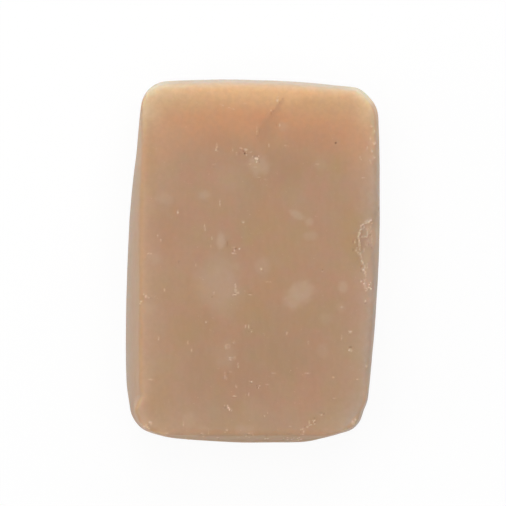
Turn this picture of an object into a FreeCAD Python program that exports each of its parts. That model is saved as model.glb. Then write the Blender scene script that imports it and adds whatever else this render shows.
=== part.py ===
import FreeCAD, Part
import math
import os

import Sketcher
from FreeCAD import Vector

# A bar of soap, lying on its back face. X runs across the bar and Y along it, with
# the far end at +Y and the near end at -Y, and Z runs up to the front face.
# The origin is under the middle of the bar, on the face it lies on.
# All lengths are in millimetres.
SIZES = {
    # The bar over its widest outline
    "bar_length": 85.0,
    "bar_width": 59.5,
    "bar_thickness": 25.0,
    # The slope of the sides below the front face, in degrees off upright
    "front_draft": 9.0,
    # The radius that each side of the widest outline bows to
    "left_radius": 405.0,
    "right_radius": 430.0,
    "far_radius": 265.0,
    "near_radius": 215.0,
    # Where along its side each bow has its crest
    "left_crest": -17.3,
    "right_crest": 16.7,
    "far_crest": -6.5,
    "near_crest": 4.1,
    # The four corners, seen from the front
    "far_left_corner": 5.1,
    "far_right_corner": 6.6,
    "near_left_corner": 6.3,
    "near_right_corner": 10.5,
    # How far the front face stays inside the widest outline on each side
    "front_left_inset": 3.35,
    "front_right_inset": 0.75,
    "front_far_inset": 0.9,
    "front_near_inset": 1.9,
    # Two sides of the front face are straighter than the outline below them
    "front_left_radius": 4000.0,
    "front_near_radius": 900.0,
    # The rounded rims of the two faces
    "front_rim": 1.2,
    "back_rim": 1.5,
    # The near right corner is worn to a flat: its run from the right and its rise
    "worn_run": 17.8,
    "worn_rise": 4.7,
    # A shallow chip out of the right rim of the front face
    "chip_middle": 1.3,
    "chip_inset": 0.5,
    "chip_half_width": 4.5,
    "chip_half_length": 8.1,
    "chip_depth": 1.0,
    # A nick in the left rim of the front face
    "nick_middle": -9.2,
    "nick_half_width": 1.1,
    "nick_half_length": 1.5,
    "nick_depth": 0.7,
    # A crease in the front face, open towards the far end
    "crease_far_place": 7.1,
    "crease_far_inset": 3.7,
    "crease_near_place": 1.0,
    "crease_near_inset": 12.4,
    "crease_inner_radius": 16.0,
    "crease_outer_radius": 12.5,
    "crease_depth": 0.5,
    # A short gouge in the front face, beyond the middle of the bar
    "gouge_far_place": -2.4,
    "gouge_far_inset": 16.0,
    "gouge_near_place": -0.9,
    "gouge_near_inset": 18.1,
    "gouge_inner_radius": 3.0,
    "gouge_outer_radius": 1.7,
    "gouge_depth": 0.6,
    # A pin hole in the front face
    "pin_hole_place": 19.1,
    "pin_hole_inset": 14.5,
    "pin_hole_radius": 0.25,
    "pin_hole_depth": 0.6,
}

SIDES = ("right", "far", "left", "near")
SIDE_RADII = {side: f"{side}_radius" for side in SIDES}

START, END, CENTRE = 1, 2, 3
ORIGIN, AXIS_POINT = -1, 1
SAME_HEIGHT = 0.001


def make_sheet(document):
    """Put every driving size in the spreadsheet, under its own alias."""
    sheet = document.addObject("Spreadsheet::Sheet", "Sizes")
    for row, (alias, value) in enumerate(SIZES.items(), start=1):
        sheet.set(f"A{row}", alias)
        sheet.set(f"B{row}", str(value))
        sheet.setAlias(f"B{row}", alias)
    document.recompute()
    return sheet


def sized(alias):
    """The expression that reads one size."""
    return f"Sizes.{alias}"


def origin_plane(body, role):
    """One of the body's own origin planes."""
    return next(item for item in body.Origin.OriginFeatures if item.Role == role)


def level_sketch(body, name, level=None):
    """An empty sketch that lies level, at the height that the expression gives."""
    sketch = body.newObject("Sketcher::SketchObject", name)
    sketch.AttachmentSupport = [(origin_plane(body, "XY_Plane"), "")]
    sketch.MapMode = "FlatFace"
    if level is not None:
        sketch.setExpression("AttachmentOffset.Base.z", level)
    return sketch


def constrain(sketch, expression, kind, *where):
    """Add one dimension that follows an expression on the sizes."""
    value = float(sketch.evalExpression(expression))
    index = sketch.addConstraint(Sketcher.Constraint(kind, *where, value))
    sketch.setExpression(f"Constraints[{index}]", expression)


def pin_point(sketch, piece, point, across, along):
    """Hold a point of a sketch at two expressions, measured from the origin."""
    constrain(sketch, across, "DistanceX", ORIGIN, AXIS_POINT, piece, point)
    constrain(sketch, along, "DistanceY", ORIGIN, AXIS_POINT, piece, point)


def draw_polygon(sketch, corners):
    """Draw straight lines from corner to corner, each corner held at its two expressions."""
    points = [Vector(*(float(sketch.evalExpression(one)) for one in pair)) for pair in corners]
    lines = []
    for start, end in zip(points, points[1:] + points[:1]):
        lines.append(sketch.addGeometry(Part.LineSegment(start, end), False))
    for line, following in zip(lines, lines[1:] + lines[:1]):
        sketch.addConstraint(Sketcher.Constraint("Coincident", line, END, following, START))
    for line, (across, along) in zip(lines, corners):
        pin_point(sketch, line, START, across, along)


def circles_meet(first_centre, first_radius, second_centre, second_radius, near):
    """The crossing of two circles that lies nearer to a given point."""
    apart = second_centre - first_centre
    along = (apart.Length**2 + first_radius**2 - second_radius**2) / (2 * apart.Length)
    aside = math.sqrt(first_radius**2 - along**2)
    forward = Vector(apart).normalize()
    sideways = Vector(-forward.y, forward.x)
    crossings = [first_centre + forward * along + sideways * way for way in (aside, -aside)]
    return min(crossings, key=lambda crossing: (crossing - near).Length)


def arc_between(centre, radius, start, end):
    """An arc about a centre that runs anticlockwise from one point to another."""
    first = math.atan2(start.y - centre.y, start.x - centre.x)
    last = math.atan2(end.y - centre.y, end.x - centre.x)
    if last < first:
        last += 2 * math.pi
    return Part.ArcOfCircle(Part.Circle(centre, Vector(0, 0, 1), radius), first, last)


class Outline:
    """A level outline of the bar: four bowed sides, joined by four tangent corners."""

    def __init__(self, body, name, level, insets, radii):
        self.sketch = level_sketch(body, name, level)
        self.insets = insets
        self.radii = radii
        self.sides = {side: self.side_circle(side) for side in SIDES}
        self.corners = {
            "far_right": self.corner_circle("right", "far", "far_right_corner"),
            "far_left": self.corner_circle("far", "left", "far_left_corner"),
            "near_left": self.corner_circle("left", "near", "near_left_corner"),
            "near_right": self.corner_circle("near", "right", "near_right_corner"),
        }
        self.draw()

    def value(self, expression):
        """The number that an expression gives."""
        return float(self.sketch.evalExpression(expression))

    def centre_expressions(self, side):
        """Where the centre of a side's bow lies, across and along the bar."""
        overall = "bar_width" if side in ("right", "left") else "bar_length"
        reach = f"({sized(overall)} / 2 - ({self.insets[side]}) - {sized(self.radii[side])})"
        crest = sized(f"{side}_crest")
        return {
            "right": (reach, crest),
            "far": (crest, reach),
            "left": (f"0 - {reach}", crest),
            "near": (crest, f"0 - {reach}"),
        }[side]

    def side_circle(self, side):
        """The centre and radius of a side's bow."""
        across, along = self.centre_expressions(side)
        return Vector(self.value(across), self.value(along)), self.value(sized(self.radii[side]))

    def corner_circle(self, before, after, corner):
        """The centre and radius of the corner that rounds two sides from inside."""
        corner_radius = self.value(sized(corner))
        (first, first_radius), (second, second_radius) = self.sides[before], self.sides[after]
        pull = Vector(0, 0)
        for side in (before, after):
            centre, radius = self.sides[side]
            pull -= Vector(centre).normalize() * radius
        centre = circles_meet(
            first, first_radius - corner_radius, second, second_radius - corner_radius, pull
        )
        return centre, corner_radius

    def touch(self, side, corner):
        """The point where a side runs into a corner."""
        centre, radius = self.sides[side]
        outward = (self.corners[corner][0] - centre).normalize()
        return centre + outward * radius

    def draw(self):
        """Draw the eight arcs anticlockwise and tie them to the sizes."""
        order = [
            ("near_right", "right", "far_right"),
            ("far_right", "far", "far_left"),
            ("far_left", "left", "near_left"),
            ("near_left", "near", "near_right"),
        ]
        pieces = []
        for place, (before, side, after) in enumerate(order):
            next_side = order[(place + 1) % len(order)][1]
            start, end = self.touch(side, before), self.touch(side, after)
            turn_end = self.touch(next_side, after)
            bow = self.sketch.addGeometry(arc_between(*self.sides[side], start, end), False)
            turn = self.sketch.addGeometry(arc_between(*self.corners[after], end, turn_end), False)
            pieces += [bow, turn]
        for piece, following in zip(pieces, pieces[1:] + pieces[:1]):
            tangent = Sketcher.Constraint("Tangent", piece, END, following, START)
            self.sketch.addConstraint(tangent)
        for (before, side, after), bow, turn in zip(order, pieces[::2], pieces[1::2]):
            constrain(self.sketch, sized(self.radii[side]), "Radius", bow)
            constrain(self.sketch, sized(f"{after}_corner"), "Radius", turn)
            pin_point(self.sketch, bow, CENTRE, *self.centre_expressions(side))


def raise_front(body):
    """Sink the front outline down to the back, with sides that slope outwards."""
    insets = {side: sized(f"front_{side}_inset") for side in SIDES}
    radii = {**SIDE_RADII, "left": "front_left_radius", "near": "front_near_radius"}
    pad = body.newObject("PartDesign::Pad", "FrontPad")
    pad.Profile = Outline(body, "FrontOutline", sized("bar_thickness"), insets, radii).sketch
    pad.setExpression("Length", sized("bar_thickness"))
    pad.Reversed = True
    body.Document.recompute()
    walls = []
    for number, face in enumerate(pad.Shape.Faces, start=1):
        if not isinstance(face.Surface, Part.Plane):
            walls.append(f"Face{number}")
        elif face.CenterOfMass.z > SIZES["bar_thickness"] / 2:
            front = f"Face{number}"
    draft = body.newObject("PartDesign::Draft", "FrontDraft")
    draft.Base = (pad, walls)
    draft.NeutralPlane = (pad, [front])
    draft.setExpression("Angle", sized("front_draft"))
    body.Document.recompute()
    return draft


def trim_sides(body):
    """Cut away all that lies outside the widest outline, so that the sides stand upright."""
    insets = {side: "0" for side in SIDES}
    sketch = Outline(body, "WidestOutline", None, insets, SIDE_RADII).sketch
    half_width = "(Sizes.bar_width / 2 + Sizes.bar_thickness)"
    half_length = "(Sizes.bar_length / 2 + Sizes.bar_thickness)"
    corners = [
        (f"0 - {half_width}", f"0 - {half_length}"),
        (half_width, f"0 - {half_length}"),
        (half_width, half_length),
        (f"0 - {half_width}", half_length),
    ]
    draw_polygon(sketch, corners)
    pocket = body.newObject("PartDesign::Pocket", "Sides")
    pocket.Profile = sketch
    pocket.Type = "ThroughAll"
    pocket.Reversed = True
    body.Document.recompute()
    return pocket


def round_rim(body, base, name, height, radius):
    """Round all the edges of the base that lie level at one height."""
    names = []
    for number, edge in enumerate(base.Shape.Edges, start=1):
        if all(abs(vertex.Z - height) < SAME_HEIGHT for vertex in edge.Vertexes):
            names.append(f"Edge{number}")
    rim = body.newObject("PartDesign::Fillet", name)
    rim.Base = (base, names)
    rim.setExpression("Radius", radius)
    body.Document.recompute()


def wear_corner(body):
    """Cut the near right corner back to a flat, through the whole thickness."""
    sketch = level_sketch(body, "WornOutline")
    right, near = "Sizes.bar_width / 2", "0 - Sizes.bar_length / 2"
    corners = [
        (f"{right} - Sizes.worn_run", near),
        (right, near),
        (right, f"{near} + Sizes.worn_rise"),
    ]
    draw_polygon(sketch, corners)
    pocket = body.newObject("PartDesign::Pocket", "WornCorner")
    pocket.Profile = sketch
    pocket.Type = "ThroughAll"
    pocket.Reversed = True
    body.Document.recompute()


def scoop(body, name, across, along, half_width, half_length, depth):
    """Scoop a rounded hollow out of the front face, about a point on it."""
    hollow = body.newObject("PartDesign::SubtractiveEllipsoid", name)
    hollow.setExpression("Radius1", depth)
    hollow.setExpression("Radius2", half_width)
    hollow.setExpression("Radius3", half_length)
    hollow.setExpression("Placement.Base.x", across)
    hollow.setExpression("Placement.Base.y", along)
    hollow.setExpression("Placement.Base.z", sized("bar_thickness"))
    body.Document.recompute()


def cut_crescent(body, name, prefix):
    """Cut a thin crescent into the front face, between a far and a near point."""
    sketch = level_sketch(body, f"{name}Outline", sized("bar_thickness"))
    ends = []
    for end in ("far", "near"):
        across = sized(f"{prefix}_{end}_place")
        along = f"Sizes.bar_length / 2 - {sized(f'{prefix}_{end}_inset')}"
        ends.append((across, along))
    far, near = [Vector(*(float(sketch.evalExpression(one)) for one in pair)) for pair in ends]
    half = (near - far) / 2
    leftwards = Vector(half.y, -half.x).normalize()
    for radius in (f"{prefix}_inner_radius", f"{prefix}_outer_radius"):
        size = float(sketch.evalExpression(sized(radius)))
        centre = far + half + leftwards * math.sqrt(size**2 - half.Length**2)
        edge = sketch.addGeometry(arc_between(centre, size, near, far), False)
        constrain(sketch, sized(radius), "Radius", edge)
    inner, outer = 0, 1
    sketch.addConstraint(Sketcher.Constraint("Coincident", inner, START, outer, START))
    sketch.addConstraint(Sketcher.Constraint("Coincident", inner, END, outer, END))
    pin_point(sketch, inner, END, *ends[0])
    pin_point(sketch, inner, START, *ends[1])
    pocket = body.newObject("PartDesign::Pocket", name)
    pocket.Profile = sketch
    pocket.setExpression("Length", sized(f"{prefix}_depth"))
    body.Document.recompute()


def pierce(body):
    """Sink the pin hole into the front face."""
    sketch = level_sketch(body, "PinHoleOutline", sized("bar_thickness"))
    across, along = sized("pin_hole_place"), "Sizes.bar_length / 2 - Sizes.pin_hole_inset"
    centre = Vector(float(sketch.evalExpression(across)), float(sketch.evalExpression(along)))
    radius = float(sketch.evalExpression(sized("pin_hole_radius")))
    hole = sketch.addGeometry(Part.Circle(centre, Vector(0, 0, 1), radius), False)
    constrain(sketch, sized("pin_hole_radius"), "Radius", hole)
    pin_point(sketch, hole, CENTRE, across, along)
    pocket = body.newObject("PartDesign::Pocket", "PinHole")
    pocket.Profile = sketch
    pocket.setExpression("Length", sized("pin_hole_depth"))
    body.Document.recompute()


def make_soap_bar(document):
    """The whole bar: one moulded block with rounded rims, then worn, chipped and creased."""
    body = document.addObject("PartDesign::Body", "SoapBar")
    body.Label = "soap_bar"
    front = raise_front(body)
    round_rim(body, front, "FrontRim", SIZES["bar_thickness"], sized("front_rim"))
    sides = trim_sides(body)
    round_rim(body, sides, "BackRim", 0.0, sized("back_rim"))
    wear_corner(body)
    scoop(
        body,
        "RightChip",
        "Sizes.bar_width / 2 - Sizes.front_right_inset - Sizes.chip_inset",
        sized("chip_middle"),
        sized("chip_half_width"),
        sized("chip_half_length"),
        sized("chip_depth"),
    )
    scoop(
        body,
        "LeftNick",
        "0 - (Sizes.bar_width / 2 - Sizes.front_left_inset)",
        sized("nick_middle"),
        sized("nick_half_width"),
        sized("nick_half_length"),
        sized("nick_depth"),
    )
    cut_crescent(body, "Crease", "crease")
    cut_crescent(body, "Gouge", "gouge")
    pierce(body)
    return body


def check(document, bodies):
    """Stop if any object failed or any body isn't a valid solid."""
    for item in document.Objects:
        if "Invalid" in item.State or "Error" in item.State:
            raise RuntimeError(f"{item.Name} failed: {item.State}")
    for body in bodies:
        if body.Shape.isNull() or not body.Shape.isValid():
            raise RuntimeError(f"{body.Label} has no valid shape")


def main():
    """Build the bar and write it out."""
    os.makedirs("parts", exist_ok=True)
    document = FreeCAD.newDocument("Soap")
    make_sheet(document)
    bodies = [make_soap_bar(document)]
    document.recompute()
    check(document, bodies)
    for body in bodies:
        body.Shape.exportStep(f"parts/{body.Label}.step")
        print(body.Label, "volume in cubic millimetres", round(body.Shape.Volume, 1))


main()
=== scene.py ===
"""A worn bar of soap, lying on its back face and seen from straight above.

The bar keeps the form of the solid that it stands for. Its skin is remeshed finely enough to carry
the marks of use: crumbs, flakes, pale patches, a crease, a gouge, a chip and worn corners. Lengths
inside the classes are millimetres in the bar's own frame, and each mark lies where the portrait
shows it. Meshes are written in metres.
"""
import logging
import math
from dataclasses import dataclass, field
from enum import Enum
from typing import Iterable, Sequence, Union

import bmesh
import bpy
import numpy as np
from mathutils import Matrix, Vector, geometry, noise
from mathutils.bvhtree import BVHTree


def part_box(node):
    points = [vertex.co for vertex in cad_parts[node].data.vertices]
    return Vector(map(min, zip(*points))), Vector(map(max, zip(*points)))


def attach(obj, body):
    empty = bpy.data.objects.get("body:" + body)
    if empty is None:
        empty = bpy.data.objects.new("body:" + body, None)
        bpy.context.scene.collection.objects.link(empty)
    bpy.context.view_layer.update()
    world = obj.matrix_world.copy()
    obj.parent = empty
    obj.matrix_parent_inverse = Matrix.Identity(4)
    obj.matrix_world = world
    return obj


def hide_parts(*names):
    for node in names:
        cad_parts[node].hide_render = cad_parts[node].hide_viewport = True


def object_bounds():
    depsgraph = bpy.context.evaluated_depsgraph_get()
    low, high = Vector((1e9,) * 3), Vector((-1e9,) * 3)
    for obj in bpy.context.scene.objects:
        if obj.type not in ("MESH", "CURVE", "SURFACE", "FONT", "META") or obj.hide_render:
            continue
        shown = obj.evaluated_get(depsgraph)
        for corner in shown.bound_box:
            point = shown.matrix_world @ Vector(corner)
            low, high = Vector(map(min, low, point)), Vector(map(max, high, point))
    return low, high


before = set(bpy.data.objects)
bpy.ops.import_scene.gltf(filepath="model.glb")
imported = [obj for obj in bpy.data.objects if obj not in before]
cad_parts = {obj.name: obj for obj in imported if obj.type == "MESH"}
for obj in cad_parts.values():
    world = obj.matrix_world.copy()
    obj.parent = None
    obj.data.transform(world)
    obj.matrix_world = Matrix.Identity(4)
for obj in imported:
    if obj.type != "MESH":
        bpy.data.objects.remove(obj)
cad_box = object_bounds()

LOG = logging.getLogger("soap")
MM = 0.001
NODE = "soap_bar"
PIECE = "soap_bar_worn"
ROOT = "root"

Place = tuple[float, float]
Line = tuple[Place, ...]
Spot = tuple[float, float, float]
Colour = tuple[float, float, float]


class Field(Enum):
    """The painted layers that the soap's finish reads, one number at each point of the skin."""

    CRUMB = "crumb"
    CLOUD = "cloud"
    # Painted shade in the pits, the near grooves and the crease's crack
    DARK = "painted_shade"
    # Rosy stains, and the crease's hollow painted redder as shade
    FLUSH = "flush"
    OLIVE = "olive"
    # Darker stains, and painted shade in the crease's hollow
    SHADE = "shade"
    LILAC = "lilac"
    # The painted glow of the far end
    FAR = "far"
    # Painted light along the front's rims
    RIM = "rim"
    # Pale dusty bloom, partly painted sheen
    BLOOM_AND_SHEEN = "bloom_and_sheen"
    # Sides painted lighter and warmer, a broken line on the left rim, and painted glow at the far
    # end
    WARM = "warm"


class Side(Enum):
    """The ways that the bar's sides and corners face, across it and along it."""

    RIGHT = (1.0, 0.0)
    FAR_RIGHT = (0.7, 0.7)
    FAR = (0.0, 1.0)
    FAR_LEFT = (-0.7, 0.7)
    LEFT = (-1.0, 0.0)
    NEAR_LEFT = (-0.7, -0.7)
    NEAR = (0.0, -1.0)
    NEAR_RIGHT = (0.7, -0.7)


@dataclass(frozen=True)
class Portrait:
    """How the square portrait lies over the bar.

    The bar's outline spans `outline_tall` pixels from end to end, which gives the scale.
    """

    pixels: int = 506
    outline_tall: float = 362.8
    middle_x: float = 252.6
    middle_y: float = 261.3

    @property
    def pixel(self) -> float:
        """The side of one pixel on the bar, in millimetres."""
        return (cad_box[1][1] - cad_box[0][1]) / MM / self.outline_tall

    def place(self, x: float, y: float) -> Place:
        """Turn a pixel into millimetres across and along the bar."""
        return (x - self.middle_x) * self.pixel, (self.middle_y - y) * self.pixel


@dataclass(frozen=True)
class Mark:
    """One mark on the front face, in pixels of the portrait.

    `wide` and `tall` are its full size, `strength` is how plainly it shows, and `turn` is
    anticlockwise in degrees.
    """

    x: float
    y: float
    wide: float
    tall: float
    strength: float = 1.0
    turn: float = 0.0


@dataclass(frozen=True)
class Corner:
    """How one corner is worn, seen from the front.

    `x` and `y` are the middle of its curve in pixels. `toward` is the way it points, anticlockwise
    from the right in degrees, and `spread` how far its wear goes to either side of that. The
    outline is worn back by `trim` millimetres. Skin inside the outline is brought out by a `fill`
    share of its depth, or of `reach` millimetres where that is less.
    """

    x: float
    y: float
    toward: float
    spread: float
    trim: float
    fill: float = 0.0
    reach: float = 1.0


CORNERS: tuple[Corner, ...] = (
    Corner(327, 389, toward=-41.0, spread=68.0, trim=0.06, fill=0.6, reach=1.6),
    Corner(327, 389, toward=-30.0, spread=17.0, trim=0.36),
    Corner(172, 392, toward=-140.0, spread=56.0, trim=0.85),
    Corner(172, 392, toward=-130.0, spread=46.0, trim=0.0, fill=0.7, reach=2.6),
    Corner(172, 112, toward=135.0, spread=38.0, trim=0.42),
    Corner(200, 155, toward=178.0, spread=50.0, trim=0.3),
    Corner(345, 118, toward=38.0, spread=36.0, trim=0.42),
)

# The fold in the front face, from its near end to its far end
CREASE: Line = (
    (258.3, 136.5), (258.6, 130), (259.8, 127), (262.5, 122.5), (266.5, 118.5), (269, 116),
    (270.5, 112), (274.5, 109.5), (276, 105.5), (280, 101.5), (285, 96),
)

# The broken edges of the chip
CHIP_LINES: tuple[Line, ...] = (
    ((371, 220), (366, 223), (362, 226), (360, 230), (358.5, 235), (358.5, 241), (359.5, 252)),
    ((360, 252), (361, 260), (363, 266), (364, 272), (364.5, 276), (364.5, 286)),
    ((367.5, 227), (367, 236.5), (360, 237)),
)

# The fine grooves along the near rim
NEAR_LINES: tuple[Line, ...] = (
    ((166, 433), (200, 434.8), (260, 435.2), (310, 435), (340, 432.5)),
    ((186, 438.6), (230, 439.6), (280, 440), (306, 439.4), (322, 437)),
)

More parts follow.
